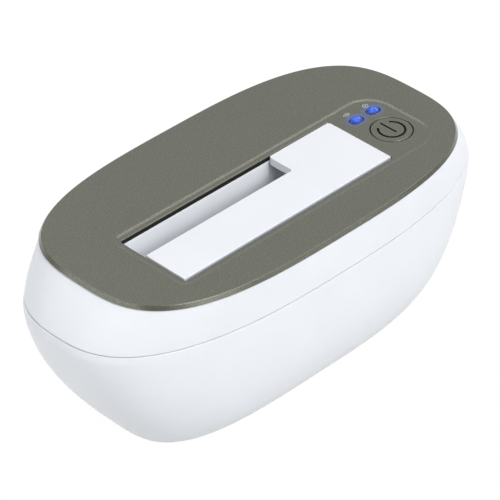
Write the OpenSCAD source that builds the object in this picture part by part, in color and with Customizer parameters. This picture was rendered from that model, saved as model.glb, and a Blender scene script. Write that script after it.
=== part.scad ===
// Hard drive docking station: a boat-shaped two-shell housing with a painted top panel,
// a drive bay closed by a sprung L-shaped flap, a power button and two indicator lenses.
// Millimetres, +Z up. The origin is under the middle of the body, on the table.
// +X runs along the body to the end with the controls, +Y to the rear with the sockets.

/* [Housing] */
// Height of the body from the underside of the lower shell to the top of the panel
body_height = 72; // [68:0.5:84]
// Length of the painted top panel
panel_length = 168.8; // [160:0.2:190]
// Width of the painted top panel
panel_width = 90; // [86:0.2:104]
// How far each end stands out past the panel at its widest
end_bulge = 12.05; // [8:0.05:16]
// Depth below the top at which the ends are widest
end_bulge_drop = 20; // [18:0.2:24]
// How far the panel's edge stands out past the top of the upper shell
panel_overhang = 0.3; // [0.2:0.05:0.6]
// How far each end of the base draws in from the panel's end
base_end_inset = 15.35; // [8:0.05:18]
// How far each side of the base draws in from the panel's side
base_side_inset = 13.15; // [8:0.05:15]
// Depth of the parting line below the top of the panel
parting_drop = 17.4; // [15:0.1:18]
// Depth below the top at which the long sides start to turn in
side_turn_drop = 32.6; // [28:0.2:40]
// How fast the ends swell out above their widest place
end_rise = 1.6; // [1.2:0.05:2]
// How fast the ends draw in below their widest place
end_curve = 1.68; // [1.5:0.02:2.4]
// How fast the sides draw in
side_curve = 2.92; // [2:0.02:3.2]
// Squareness of the panel's outline, 2 is an ellipse
panel_squareness = 3.1; // [2.8:0.02:3.6]
// Squareness of the outline at the parting line
parting_squareness = 2.7; // [2.5:0.02:3.4]
// Squareness of the outline at the base
base_squareness = 3.3; // [3:0.02:3.8]
// Rounding of the bottom edge
base_edge = 1.2; // [0.6:0.1:2]
// Wall of the two shells
wall = 2.4; // [1.8:0.1:2.8]
// Thickness of the upper shell's deck, under the panel
deck_thick = 2.2; // [1.6:0.1:3]
// Height of the upper shell's locating lip
lip_height = 2.5; // [1.5:0.1:4]
// Thickness of the locating lip
lip_thick = 1.2; // [0.8:0.1:1.6]
// Clearance between the lip and the lower shell
lip_gap = 0.2; // [0.1:0.05:0.4]

/* [Top panel] */
// Thickness of the panel
panel_thick = 1.8; // [1.4:0.1:2.4]
// Width of the sloping band round the panel's edge
panel_bevel = 0.85; // [0.4:0.05:1.2]
// Height of the upright foot under the sloping band
panel_foot = 0.3; // [0.2:0.05:0.6]
// Depth of the shallow recess round the opening and the controls
recess_depth = 0.4; // [0.2:0.05:0.6]
// Margin of the recess round the drive opening
recess_margin = 2.2; // [1:0.1:3]
// Corner radius of the recess at the controls
recess_radius = 10; // [6:0.5:12]
// Distance from the button's middle to the recess's end
recess_end = 10.3; // [9.5:0.1:12]
// Depth of the panel's lip along the opening's rear edge
edge_lip = 0.6; // [0.4:0.1:0.8]
// Thickness of that lip
edge_lip_thick = 1.2; // [0.8:0.1:1.3]

/* [Drive bay] */
// Length of the opening for a 3.5 inch drive
bay_length = 104; // [103:0.2:108]
// Width of the opening
bay_width = 31.7; // [31:0.1:34]
// Distance of the opening's middle from the body's middle along X
bay_x = -6.8; // [-9:0.1:-5]
// Distance of the opening's middle from the body's middle along Y
bay_y = -10; // [-11:0.1:-8]
// Corner radius of the opening
bay_corner = 1; // [0.5:0.1:1.5]
// Depth of the bay's floor below the top of the panel
bay_depth = 48.2; // [44:0.2:50]
// Length of the slot for a 2.5 inch drive
slot_length = 72.4; // [71:0.2:76]
// Width of the slot for a 2.5 inch drive
slot_width = 11.9; // [11:0.1:13]
// Wall of the bay's liner
liner_wall = 1.4; // [1:0.1:1.8]
// Floor of the bay's liner
liner_floor = 1.8; // [1.4:0.1:2.4]
// How far the liner lies back from the flap's ears and barrel
liner_margin = 0.4; // [0.3:0.05:0.6]
// How far the liner's rear wall lies back from the opening
rear_margin = 0.2; // [0.1:0.05:0.4]
// Clearance between the liner and what it passes
liner_gap = 0.3; // [0.2:0.05:0.5]
// Reach of the liner's screw tabs
tab_reach = 7.6; // [7:0.1:9]
// Thickness of the liner's screw tabs
tab_thick = 2; // [1.6:0.1:2.6]
// Width of the liner's screw tabs
tab_width = 8; // [7:0.1:10]
// Depth of the tabs' tops below the deck
tab_drop = 5; // [4:0.1:6]
// Distance of the left pair of tabs from the opening's middle
tab_left = 38; // [34:0.5:40]
// Distance of the right pair of tabs from the opening's middle
tab_right = 42; // [38:0.5:44]

/* [Flap] */
// Thickness of the flap
flap_thick = 3.2; // [2.8:0.1:3.4]
// Depth of the flap's top below the top of the panel
flap_drop = 0; // [0:0.05:0.3]
// Clearance round the flap in the opening
flap_gap = 0.4; // [0.35:0.05:0.6]
// Depth of the hinge axis below the flap's top
hinge_drop = 4.2; // [4:0.1:4.4]
// Distance of the hinge axis from the opening's front edge
hinge_inset = 1.3; // [1.1:0.1:1.5]
// Outer diameter of the hinge barrel
barrel_d = 4; // [3.6:0.1:4.2]
// Diameter of the hinge pin
pin_d = 1.8; // [1.5:0.1:2]
// Clearance of the pin in the barrel, on the radius
pin_gap = 0.2; // [0.1:0.05:0.3]
// How far the flap's ears reach under the panel
ear_reach = 0.9; // [0.7:0.1:1]
// Gap between the ears and the panel
ear_gap = 0.3; // [0.2:0.05:0.4]
// Rounding of the flap's front edge
flap_nose = 0.8; // [0.5:0.1:1.2]
// Rounding in the flap's inner corner
slot_fillet = 0.8; // [0.4:0.1:1.2]
// Distance of the ears from the hinge axis
ear_start = 5; // [4:0.1:7]
// Distance of the left ear from the slot's front edge
ear_end = 1; // [0.5:0.1:2]
// Distance of the right ear from the flap's rear edge
ear_back = 3; // [2:0.1:5]
// Thickness of the flap's stiffening ribs
rib_thick = 1.2; // [0.8:0.1:1.6]
// How far the ribs stand out under the flap
rib_drop = 1.6; // [1:0.1:2]
// Distance of the outer ribs from the flap's ends
rib_inset = 3; // [2:0.1:5]
// Distance of the middle rib from the slot's end
rib_step = 4; // [3:0.1:6]
// Distance of the ribs' ends from the slot's front edge
rib_end = 2; // [1:0.1:3]
// Free length left in the barrel for the spring
spring_space = 12; // [11:0.5:16]
// Wire diameter of the flap's spring
spring_wire = 0.5; // [0.4:0.05:0.55]
// Turns of the flap's spring
spring_turns = 7; // [5:1:7]
// Gap between the spring's turns
spring_turn_gap = 0.6; // [0.45:0.05:0.7]
// Length of the spring's leg on the liner
spring_leg = 9; // [6:0.5:12]
// Clearance round the spring in the barrel
spring_clear = 0.3; // [0.2:0.05:0.5]

/* [Controls] */
// Diameter of the power button
button_d = 15.4; // [13:0.2:16]
// Ring gap round the button
button_gap = 0.4; // [0.3:0.05:0.5]
// Distance of the button's middle from the opening's end
button_offset = 13; // [12.6:0.1:15]
// Distance of the button's middle from the opening's front edge
button_rise = 12.6; // [12:0.1:13.5]
// Travel of the power button
button_travel = 0.6; // [0.4:0.05:0.7]
// Width of the button's retaining rim
button_rim = 0.8; // [0.7:0.05:1]
// Length of an indicator lens
lens_length = 6; // [5.6:0.1:7]
// Width of an indicator lens
lens_width = 3.9; // [3.8:0.1:4.8]
// Distance of the drive's lens past the button's middle
lens_offset = 4.2; // [3:0.1:5]
// Width of the flange under a lens, all round
lens_flange = 0.4; // [0.3:0.05:0.6]
// Thickness of the flange under a lens
lens_foot = 1; // [0.8:0.1:1.4]
// How far a lens stands out of the recess
lens_dome = 0.3; // [0.1:0.05:0.5]
// Diameter of the light guide under a lens
guide_d = 3.3; // [2.6:0.1:3.6]
// Distance between the two lenses
lens_pitch = 8.9; // [8.8:0.1:9.6]
// Distance of the lens row from the button's middle
lens_rise = 13.2; // [12:0.1:13.5]
// Clearance round a lens
lens_gap = 0.15; // [0.1:0.05:0.25]
// Depth of the control board below the deck
control_drop = 7.2; // [6.8:0.1:8]
// Gap between the control board and the bay's liner
control_gap = 1.9; // [1.5:0.1:3]
// How far the control board reaches past the button's middle
control_end = 14.7; // [13:0.1:16]
// How far the control board reaches in front of the button's middle
control_front_reach = 6.4; // [5:0.1:8]
// How far the control board reaches behind the lenses
control_rear_reach = 8.9; // [8:0.1:10]
// Distance of the control board's screws from its edges
control_screw_inset = 2.8; // [2.6:0.1:3.4]
// Outer diameter of the control board's bosses
control_boss_d = 4; // [3.8:0.1:4.6]
// Thickness of the circuit boards
board_thick = 1.6; // [1.2:0.1:2]
// Side of the tact switch
switch_side = 6; // [5:0.1:7]
// Height of the tact switch's body
switch_height = 3.5; // [3:0.1:3.8]
// Diameter of the switch's plunger
plunger_d = 3.2; // [2.6:0.1:3.6]
// How far the plunger stands out of the switch
plunger_rise = 1; // [0.9:0.05:1.2]
// Clearance of the plunger in the switch, on the radius
plunger_gap = 0.3; // [0.2:0.05:0.4]
// Length of the plunger inside the switch
plunger_root = 0.8; // [0.6:0.05:0.9]
// Thickness of the button's retaining rim
rim_thick = 1; // [0.8:0.1:1.4]
// Gap between the retaining rim and the deck
rim_gap = 0.2; // [0.1:0.05:0.3]
// Wall of the hollow button
button_wall = 1.4; // [1:0.1:2]
// Diameter of the stem between the button and the switch
stem_d = 3; // [2:0.1:3]
// Length of a light-emitting chip
light_length = 3.2; // [2:0.1:3.6]
// Width of a light-emitting chip
light_width = 1.6; // [1:0.1:2]
// Height of a light-emitting chip
light_height = 1.1; // [0.8:0.1:1.3]
// Gap between a chip and its light guide
light_gap = 0.3; // [0.2:0.05:0.5]

/* [Main board] */
// Length of the main board
board_length = 102; // [98:0.5:104]
// Width of the main board
board_width = 52; // [48:0.5:53]
// Room for parts between the main board and the bay's floor
board_room = 6.4; // [6:0.1:9]
// Distance of the board's end from the opening's end
board_inset = 3; // [2:0.1:5]
// Distance of the board's rear edge from the sockets' mouths
board_setback = 10.6; // [9:0.1:12]
// Diameter of the board's standoffs
standoff_d = 6; // [5:0.1:7]
// Distance of the standoffs from the board's edges
standoff_inset = 5; // [4.5:0.1:7]
// Length of the drive connector
sata_length = 42; // [40:0.5:44]
// Width of the drive connector
sata_width = 5.6; // [5:0.1:6.4]
// Distance of the drive connector from the opening's end
sata_inset = 3.2; // [2.6:0.1:4]
// Distance of the drive connector's middle from the slot's front edge
sata_offset = 6.9; // [6:0.1:7.4]
// Wall of the drive connector
sata_wall = 1.1; // [0.8:0.1:1.4]
// End wall of the drive connector
sata_end = 2; // [1.5:0.1:3]
// Distance of the connector's key from its end
key_offset = 13; // [12:0.1:14]
// Width of the connector's key
key_width = 1.4; // [1:0.1:2]
// How far the drive connector stands up out of the bay's floor
sata_rise = 6; // [5:0.1:8]
// Width of the network socket
lan_width = 16; // [15:0.1:17]
// Height of the network socket
lan_height = 13.4; // [12.6:0.1:14]
// Depth of the network socket
lan_depth = 21.5; // [19:0.1:22]
// Width of the data socket
usb_width = 12; // [11.4:0.1:13]
// Height of the data socket
usb_height = 11; // [10:0.1:12]
// Depth of the data socket
usb_depth = 18; // [16:0.1:19]
// Width of the power socket
jack_width = 9; // [8.4:0.1:10]
// Height of the power socket
jack_height = 11; // [10:0.1:12]
// Depth of the power socket
jack_depth = 14.5; // [13:0.1:16]
// Bore of the power socket
jack_bore = 6.4; // [5.5:0.1:6.8]
// Centre pin of the power socket
jack_pin_d = 2.1; // [1.7:0.1:2.5]
// Distance between the middles of neighbouring sockets
socket_pitch = 28; // [24:0.5:30]
// Clearance round a socket in the rear wall
socket_gap = 0.4; // [0.3:0.05:0.6]
// How far the sockets' mouths lie in front of the parting line's rear edge
socket_inset = 4.05; // [3.5:0.05:5]
// Distance of the data socket from the opening's middle
usb_offset = 7; // [5:0.1:9]
// Sheet of the data socket's shell
usb_sheet = 0.5; // [0.3:0.05:0.6]
// Height of the data socket's wide foot
usb_step = 7.2; // [6.6:0.1:7.8]
// Chamfer of the data socket's steps
usb_chamfer = 1.6; // [1.2:0.1:2]
// Depth of the network socket's mouth
lan_mouth_depth = 13.5; // [12:0.1:15]
// Roof of the network socket
lan_roof_thick = 2; // [1.4:0.1:2.4]
// Width of the network socket's mouth
lan_mouth_width = 11.8; // [11.6:0.1:12.4]
// Depth of the power socket's rear wall
jack_back = 4; // [3:0.1:5]
// How far the power socket's pin lies behind its mouth
jack_pin_inset = 1.5; // [1:0.1:3]

/* [Board parts] */
// Side of the bridge processor
chip_side = 14; // [12:0.1:15]
// Height of the bridge processor
chip_height = 1.5; // [1:0.1:2]
// Reach of the processor's legs
chip_leg = 1.2; // [0.8:0.1:1.6]
// Distance between the processor's legs
chip_pitch = 1.3; // [1:0.05:1.4]
// Gap between the processor's legs and the network socket
chip_gap = 0.9; // [0.6:0.1:1.4]
// Distance of the processor's middle from the board's end
chip_inset = 24; // [23:0.5:26]
// Length of the wireless module
module_length = 26; // [22:0.5:27]
// Width of the wireless module
module_width = 18; // [15:0.5:18.5]
// Thickness of the wireless module's board
module_thick = 0.8; // [0.6:0.1:1]
// Gap between the wireless module and the processor's legs
module_gap = 1.8; // [1:0.1:2.4]
// Distance of the wireless module from the board's end
module_inset = 50; // [49:0.5:53]
// Margin of the shield on the wireless module
shield_margin = 2; // [1:0.1:3]
// Length of the shield
shield_length = 16; // [12:0.5:18]
// Height of the shield
shield_height = 2.2; // [1.6:0.1:2.8]
// Sheet of the shield
shield_sheet = 0.3; // [0.2:0.05:0.5]
// Diameter of a capacitor
capacitor_d = 6.3; // [5:0.1:6.6]
// Height of a capacitor
capacitor_height = 8; // [6:0.2:9]
// Distance between the capacitors
capacitor_pitch = 7.4; // [7:0.1:8]
// Distance of the first capacitor from the board's end
capacitor_inset = 14; // [12:0.5:16]
// Distance of the capacitors from the board's rear edge
capacitor_setback = 14; // [12:0.5:14.5]
// Side of the inductor's foot
inductor_side = 7.2; // [6:0.1:7.8]
// Diameter of the inductor's core
inductor_d = 6.6; // [5:0.1:7]
// Height of the inductor's foot
inductor_foot = 1; // [0.6:0.1:1.4]
// Height of the inductor
inductor_height = 3.8; // [3:0.1:4.6]
// Gap between the last capacitor and the inductor
inductor_gap = 0.8; // [0.5:0.1:1.5]
// Length of the crystal's can
crystal_length = 11; // [8:0.1:11.4]
// Width of the crystal's can
crystal_width = 4.6; // [3.6:0.1:5]
// Height of the crystal's can
crystal_height = 3.5; // [2.5:0.1:4]
// Gap between the crystal and the processor's legs
crystal_gap = 0.5; // [0.3:0.1:1]
// Length of a cable header
header_length = 6; // [5:0.1:7]
// Width of a cable header
header_width = 10; // [9:0.1:11]
// Height of a cable header
header_height = 4.8; // [4:0.1:5.4]
// Distance of the main header from the board's end
header_inset = 0.5; // [0.3:0.1:1]
// Distance of the headers from the main board's front edge
header_offset = 14.1; // [12:0.1:16]
// Width of the flat cable
cable_width = 8; // [7:0.1:9]
// Thickness of the flat cable
cable_thick = 0.4; // [0.3:0.05:0.6]
// Bend radius of the flat cable
cable_bend = 9; // [6:0.5:11]
// Distance of the control header from the control board's end
cable_offset = 10.5; // [9:0.1:12]

/* [Fasteners] */
// Outer diameter of the screw bosses
boss_d = 6; // [5.4:0.1:6.4]
// Shank diameter of the case screws
screw_d = 2.6; // [2.2:0.1:3]
// Head diameter of the screws
head_d = 4.6; // [4:0.1:5]
// Height of the screws' heads
head_height = 1.6; // [1.2:0.1:2]
// Clearance of a screw in a through hole, on the radius
screw_gap = 0.25; // [0.15:0.05:0.4]
// Height of the lower shell's screw posts above the table
post_height = 30; // [26:0.5:34]
// Length of the case screws under the head
case_screw = 14; // [12:0.5:18]
// Depth of the case screws' seats below the posts' tops
seat_depth = 4; // [3:0.1:5]
// Clearance of the posts from the boards and the liner
post_clear = 0.6; // [0.4:0.1:1]
// Distance of the rear case screws from the base's side
rear_screw_inset = 14.5; // [13:0.1:16]
// Distance of the front case screw from the control board
front_screw_gap = 1; // [0.8:0.1:2]
// Length of the short screws
short_screw = 5; // [4:0.1:6]
// Diameter of the rubber feet
foot_d = 10; // [8:0.2:11]
// Height of the feet
foot_height = 2; // [1.8:0.1:2.4]
// How far the feet stand out of the base
foot_rise = 1; // [0.8:0.1:1.2]
// Distance of the feet from the base's ends
foot_inset_x = 30; // [28:0.5:36]
// Distance of the feet from the base's sides
foot_inset_y = 13; // [12:0.5:15]
// Clearance of a foot in its pocket, on the radius
foot_gap = 0.3; // [0.2:0.05:0.5]
// Chamfer of a foot's edge
foot_chamfer = 0.6; // [0.4:0.1:0.8]

/* [Hidden] */
$fn = 48;
// Points round one section of the housing
sides = 64;
// Steps in the lower shell's outer and inner skin, and in the upper shell's
outer_steps = 8;
inner_steps = 6;
upper_steps = 4;
// Overlap of cutting shapes past the faces that they cut
cut = 1;
// How far a socket's hole reaches in past the rear wall
wall_reach = 4;
// Colours, as the photograph shows them or as such pieces have
white = [0.93, 0.94, 0.95];
taupe = [0.44, 0.44, 0.41];
blue = [0.10, 0.22, 0.85];
black = [0.08, 0.08, 0.09];
steel = [0.70, 0.71, 0.73];
gold = [0.80, 0.66, 0.30];
board_green = [0.10, 0.34, 0.20];

// Levels above the table
base_z = foot_rise;
top_z = base_z + body_height;
panel_z = top_z - panel_thick;
deck_z = panel_z - deck_thick;
flap_z = top_z - flap_drop;
hinge_z = flap_z - hinge_drop;
bay_z = top_z - bay_depth;
board_z = bay_z - liner_floor - board_room;
board_under = board_z - board_thick;
control_z = deck_z - control_drop;
tab_z = deck_z - tab_drop;
case_seat = post_height - seat_depth;

// The opening, and the liner that hangs below it
bay_left = bay_x - bay_length / 2;
bay_right = bay_x + bay_length / 2;
bay_front = bay_y - bay_width / 2;
bay_rear = bay_y + bay_width / 2;
hinge_y = bay_front + hinge_inset;
liner_left = bay_left - ear_reach - liner_margin;
liner_right = bay_right + ear_reach + liner_margin;
liner_front = hinge_y - barrel_d / 2 - liner_margin;
liner_rear = bay_rear + rear_margin;
liner_out_left = liner_left - liner_wall;
liner_out_right = liner_right + liner_wall;
liner_out_front = liner_front - liner_wall;
liner_out_rear = liner_rear + liner_wall;

// The controls
button_x = bay_right + button_offset;
button_y = bay_front + button_rise;
button_r = button_d / 2;
rim_r = button_r + button_gap + button_rim - button_gap / 2;
lens_y = button_y + lens_rise;
lens_drive_x = button_x + lens_offset;
lens_network_x = lens_drive_x - lens_pitch;
control_left = liner_out_right + control_gap;
control_right = button_x + control_end;
control_front = button_y - control_front_reach;
control_rear = lens_y + control_rear_reach;
control_points = [[(lens_network_x + lens_drive_x) / 2, control_rear - control_screw_inset],
    [control_right - control_screw_inset, control_front + control_screw_inset]];
switch_top = control_z + switch_height;
plunger_top = switch_top + plunger_rise;

// The main board
socket_y = panel_width / 2 - panel_overhang - socket_inset;
board_left = bay_left + board_inset;
board_right = board_left + board_length;
board_rear = socket_y - board_setback;
board_front = board_rear - board_width;
standoffs = [for (x = [board_left + standoff_inset, board_right - standoff_inset])
    for (y = [board_front + standoff_inset, board_rear - standoff_inset]) [x, y]];
sata_x = bay_left + sata_inset + sata_length / 2;
sata_y = bay_rear - slot_width + sata_offset;
key_x = sata_x - sata_length / 2 + key_offset;
sata_top = bay_z + sata_rise;
header_y = board_front + header_offset;
header_right = board_right - header_inset;
cable_x = control_left + cable_offset;
cable_z = board_z + header_height / 2;

// The sockets in the rear wall
usb_x = bay_x + usb_offset;
jack_x = usb_x - socket_pitch;
lan_x = usb_x + socket_pitch;
lan_roof = board_z + lan_height - lan_roof_thick;

// The parts on the board
chip_half = chip_side / 2 + chip_leg;
chip_x = board_right - chip_inset;
chip_y = socket_y - lan_depth - chip_gap - chip_half;
module_rear = chip_y - chip_half - module_gap;
module_left = board_left + module_inset;
capacitor_y = board_rear - capacitor_setback;

// Screws and feet
boss_r = boss_d / 2;
base_half_length = panel_length / 2 - base_end_inset;
base_half_width = panel_width / 2 - base_side_inset;
rear_screw_y = base_half_width - rear_screw_inset;
case_points = [[board_left - boss_r - post_clear, rear_screw_y],
    [liner_out_left - boss_r - post_clear, bay_y],
    [liner_out_right + boss_r + post_clear, control_front - boss_r - front_screw_gap],
    [board_right + boss_r + post_clear, rear_screw_y]];
tab_points = [for (x = [bay_x - tab_left, bay_x + tab_right])
    for (y = [liner_out_front - tab_reach / 2, liner_out_rear + tab_reach / 2]) [x, y]];
feet = [for (sx = [-1, 1]) for (sy = [-1, 1])
    [sx * (base_half_length - foot_inset_x), sy * (base_half_width - foot_inset_y)]];

// Housing sections: half sizes and squareness at a depth below the top of the panel
function share(d, from, to) = (d - from) / (to - from);
function half_length(d) = panel_length / 2 + (d <= end_bulge_drop
    ? end_bulge - (end_bulge + panel_overhang) * pow(share(d, end_bulge_drop, panel_thick), end_rise)
    : end_bulge - (end_bulge + base_end_inset) * pow(share(d, end_bulge_drop, body_height), end_curve));
function half_width(d) = panel_width / 2 - panel_overhang - (d <= side_turn_drop
    ? 0
    : (base_side_inset - panel_overhang) * pow(share(d, side_turn_drop, body_height), side_curve));
function squareness(d) = d <= parting_drop
    ? panel_squareness + (parting_squareness - panel_squareness) * d / parting_drop
    : parting_squareness + (base_squareness - parting_squareness)
        * pow(share(d, parting_drop, body_height), 2);
function outline(a, b, n) = [for (i = [0 : sides - 1])
    let (c = cos(360 * i / sides), s = sin(360 * i / sides))
    [a * sign(c) * pow(abs(c), 2 / n), b * sign(s) * pow(abs(s), 2 / n)]];
function ring(a, b, n, z) = [for (p = outline(a, b, n)) [p[0], p[1], z]];
function section(d, inset) = ring(half_length(d) - inset, half_width(d) - inset, squareness(d), top_z - d);

// Closed skin through a chain of sections, capped at both ends
module loft(rings) {
    count = len(rings[0]);
    last = len(rings) - 1;
    polyhedron(points = [for (r = rings) each r],
        faces = concat([[for (i = [0 : count - 1]) i]],
            [for (k = [0 : last - 1]) for (i = [0 : count - 1]) let (j = (i + 1) % count)
                each [[k * count + i, (k + 1) * count + i, (k + 1) * count + j],
                    [k * count + i, (k + 1) * count + j, k * count + j]]],
            [[for (i = [count - 1 : -1 : 0]) last * count + i]]));
}

// Box between two corners
module block(low, high) {
    translate(low) cube(high - low);
}

// Upright cylinder between two levels
module post(at, r, low, high) {
    translate([at[0], at[1], low]) cylinder(r = r, h = high - low);
}

// Upright rectangle with round corners between two levels
module round_block(x0, x1, y0, y1, r, low, high) {
    translate([0, 0, low]) linear_extrude(high - low) {
        translate([x0 + r, y0]) square([x1 - x0 - 2 * r, y1 - y0]);
        translate([x0, y0 + r]) square([x1 - x0, y1 - y0 - 2 * r]);
        for (x = [x0 + r, x1 - r]) for (y = [y0 + r, y1 - r]) translate([x, y]) circle(r);
    }
}

// Upright oval along X between two levels
module oval(at, length, width, low, high) {
    round_block(at[0] - length / 2, at[0] + length / 2, at[1] - width / 2, at[1] + width / 2,
        width / 2 - 0.01, low, high);
}

// Screw along +Z with its head's underside at the given level
module screw(at, seat, length) {
    post(at, head_d / 2, seat - head_height, seat);
    post(at, screw_d / 2, seat, seat + length);
}

// Lower shell with screw posts, board standoffs, foot pockets and socket openings
module lower_shell() {
    low_d = body_height - base_edge;
    levels = [for (u = [outer_steps : -1 : 0]) parting_drop + (low_d - parting_drop) * u / outer_steps];
    floor_d = body_height - wall;
    lip_room = parting_drop + lip_height + lip_gap;
    inner = concat([parting_drop],
        [for (u = [0 : inner_steps]) lip_room + (floor_d - lip_room) * u / inner_steps]);
    color(white) difference() {
        union() {
            difference() {
                loft(concat([section(body_height, base_edge)], [for (d = levels) section(d, 0)],
                    [for (d = inner) section(d, wall)]));
                for (p = feet) post(p, foot_d / 2, base_z - cut, base_z + foot_height - foot_rise);
                socket_opening(lan_x, lan_width, lan_height);
                socket_opening(usb_x, usb_width, usb_height);
                socket_opening(jack_x, jack_width, jack_height);
            }
            for (p = case_points) post(p, boss_r, base_z + wall / 2, post_height);
            for (p = standoffs) post(p, standoff_d / 2, base_z + wall / 2, board_under);
        }
        for (p = case_points) {
            post(p, head_d / 2 + screw_gap, base_z - cut, case_seat);
            post(p, screw_d / 2 + screw_gap, base_z, post_height + cut);
        }
        for (p = standoffs) post(p, screw_d / 2, board_z - short_screw - cut / 2, board_under + cut);
    }
}

// Hole in the rear wall round a socket
module socket_opening(x, width, height) {
    block([x - width / 2 - socket_gap, socket_y - wall - wall_reach, board_z - socket_gap],
        [x + width / 2 + socket_gap, panel_width, board_z + height + socket_gap]);
}

// Upper shell: sloping skirt, deck under the panel, locating lip and bosses
module upper_shell() {
    outer = [for (u = [0 : upper_steps]) parting_drop + (panel_thick - parting_drop) * u / upper_steps];
    inner_top = panel_thick + deck_thick;
    lip_in = wall + lip_gap + lip_thick;
    lip_d = parting_drop + lip_height;
    color(white) difference() {
        union() {
            difference() {
                loft(concat([section(inner_top, wall), section(parting_drop - lip_height, wall)],
                    [section(parting_drop - lip_height, lip_in), section(lip_d, lip_in)],
                    [section(lip_d, wall + lip_gap), section(parting_drop, wall + lip_gap)],
                    [for (d = outer) section(d, 0)]));
                block([liner_out_left - liner_gap, liner_out_front - liner_gap, deck_z - cut],
                    [liner_out_right + liner_gap, liner_out_rear + liner_gap, panel_z + cut]);
                post([button_x, button_y], button_r + button_gap, deck_z - cut, panel_z + cut);
                for (x = [lens_network_x, lens_drive_x])
                    oval([x, lens_y], lens_length + 2 * lens_gap, lens_width + 2 * lens_gap,
                        deck_z - cut, panel_z + cut);
            }
            for (p = case_points) post(p, boss_r, post_height, deck_z + deck_thick / 2);
            for (p = tab_points) post(p, boss_r, tab_z, deck_z + deck_thick / 2);
            for (p = control_points) post(p, control_boss_d / 2, control_z, deck_z + deck_thick / 2);
        }
        for (p = case_points) post(p, screw_d / 2, post_height - cut, case_seat + case_screw + cut);
        for (p = tab_points) post(p, screw_d / 2, tab_z - cut, tab_z - tab_thick + short_screw + cut / 2);
        for (p = control_points)
            post(p, screw_d / 2, control_z - cut, control_z - board_thick + short_screw + cut / 2);
    }
}

// Painted panel with the drive opening, a lip behind it, a recess and the holes for the controls
module top_panel() {
    recess_z = top_z - recess_depth;
    half_long = panel_length / 2;
    half_wide = panel_width / 2;
    color(taupe) difference() {
        union() {
            loft([ring(half_long, half_wide, panel_squareness, panel_z),
                ring(half_long, half_wide, panel_squareness, panel_z + panel_foot),
                ring(half_long - panel_bevel, half_wide - panel_bevel, panel_squareness, top_z)]);
            block([bay_left, bay_rear - cut, panel_z - edge_lip],
                [bay_right, bay_rear + edge_lip_thick, panel_z + panel_foot]);
        }
        round_block(bay_left - recess_margin, button_x + recess_end, bay_front - recess_margin,
            bay_rear + recess_margin, recess_radius, recess_z, top_z + cut);
        round_block(bay_left - recess_margin, bay_right, bay_front - recess_margin,
            bay_rear + recess_margin, bay_corner, recess_z, top_z + cut);
        round_block(bay_left, bay_right, bay_front, bay_rear, bay_corner, panel_z - cut, top_z + cut);
        post([button_x, button_y], button_r + button_gap, panel_z - cut, top_z + cut);
        for (x = [lens_network_x, lens_drive_x])
            oval([x, lens_y], lens_length + 2 * lens_gap, lens_width + 2 * lens_gap,
                panel_z - cut, top_z + cut);
    }
}

// Open-topped well of the drive bay, with screw tabs, pin holes and the connector's slot
module bay_liner() {
    color(white) difference() {
        union() {
            block([liner_out_left, liner_out_front, bay_z - liner_floor],
                [liner_out_right, liner_out_rear, panel_z]);
            for (p = tab_points)
                block([p[0] - tab_width / 2, p[1] - tab_reach / 2, tab_z - tab_thick],
                    [p[0] + tab_width / 2, p[1] + tab_reach / 2, tab_z]);
        }
        block([liner_left, liner_front, bay_z], [liner_right, liner_rear, panel_z + cut]);
        block([bay_left - liner_gap, liner_rear - cut, panel_z - edge_lip],
            [bay_right + liner_gap, liner_out_rear + cut, panel_z + cut]);
        block([sata_x - sata_length / 2 - liner_gap, sata_y - sata_width / 2 - liner_gap,
                bay_z - liner_floor - cut],
            [sata_x + sata_length / 2 + liner_gap, sata_y + sata_width / 2 + liner_gap, bay_z + cut]);
        hinge_rod(pin_d / 2, liner_out_left - cut, liner_out_right + cut);
        for (p = tab_points) post(p, screw_d / 2 + screw_gap, tab_z - tab_thick - cut, tab_z + cut);
    }
}

// Cylinder on the hinge axis between two places along X
module hinge_rod(r, x0, x1) {
    translate([x0, hinge_y, hinge_z]) rotate([0, 90, 0]) cylinder(r = r, h = x1 - x0);
}

// Sprung flap: L-shaped plate with the small slot left open, barrel, stiffening ribs and ears
module drive_flap() {
    left = bay_left + flap_gap;
    right = bay_right - flap_gap;
    front = bay_front + flap_gap;
    rear = bay_rear - flap_gap;
    under = flap_z - flap_thick;
    slot_front = bay_rear - slot_width;
    slot_right = bay_left + slot_length;
    ear_z = panel_z - ear_gap;
    root = 2 * bay_corner;
    barrel_r = barrel_d / 2;
    color(white) difference() {
        union() {
            block([left, front + flap_nose, under], [right, slot_front, flap_z]);
            block([left, front, under], [right, front + flap_nose + cut, flap_z - flap_nose]);
            translate([left, front + flap_nose, flap_z - flap_nose]) rotate([0, 90, 0])
                cylinder(r = flap_nose, h = right - left);
            round_block(slot_right, right, slot_front - root, rear, bay_corner, under, flap_z);
            block([slot_right, slot_front - root, under], [right, slot_front, flap_z]);
            slot_corner(slot_right, slot_front, under);
            block([left - flap_gap - ear_reach, hinge_y + ear_start, under],
                [left + cut, slot_front - ear_end, ear_z]);
            block([right - cut, hinge_y + ear_start, under],
                [right + flap_gap + ear_reach, rear - ear_back, ear_z]);
            for (x = [left + rib_inset, slot_right + rib_step, right - rib_inset])
                block([x - rib_thick / 2, hinge_y, under - rib_drop],
                    [x + rib_thick / 2, slot_front - rib_end, under + cut]);
            hinge_rod(barrel_r, left, right);
        }
        hinge_rod(pin_d / 2 + pin_gap, left - cut, right + cut);
        block([bay_x - spring_space / 2, hinge_y - barrel_r - cut, hinge_z - barrel_r - cut],
            [bay_x + spring_space / 2, hinge_y + barrel_r + spring_clear, hinge_z + barrel_r + spring_clear]);
    }
}

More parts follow.
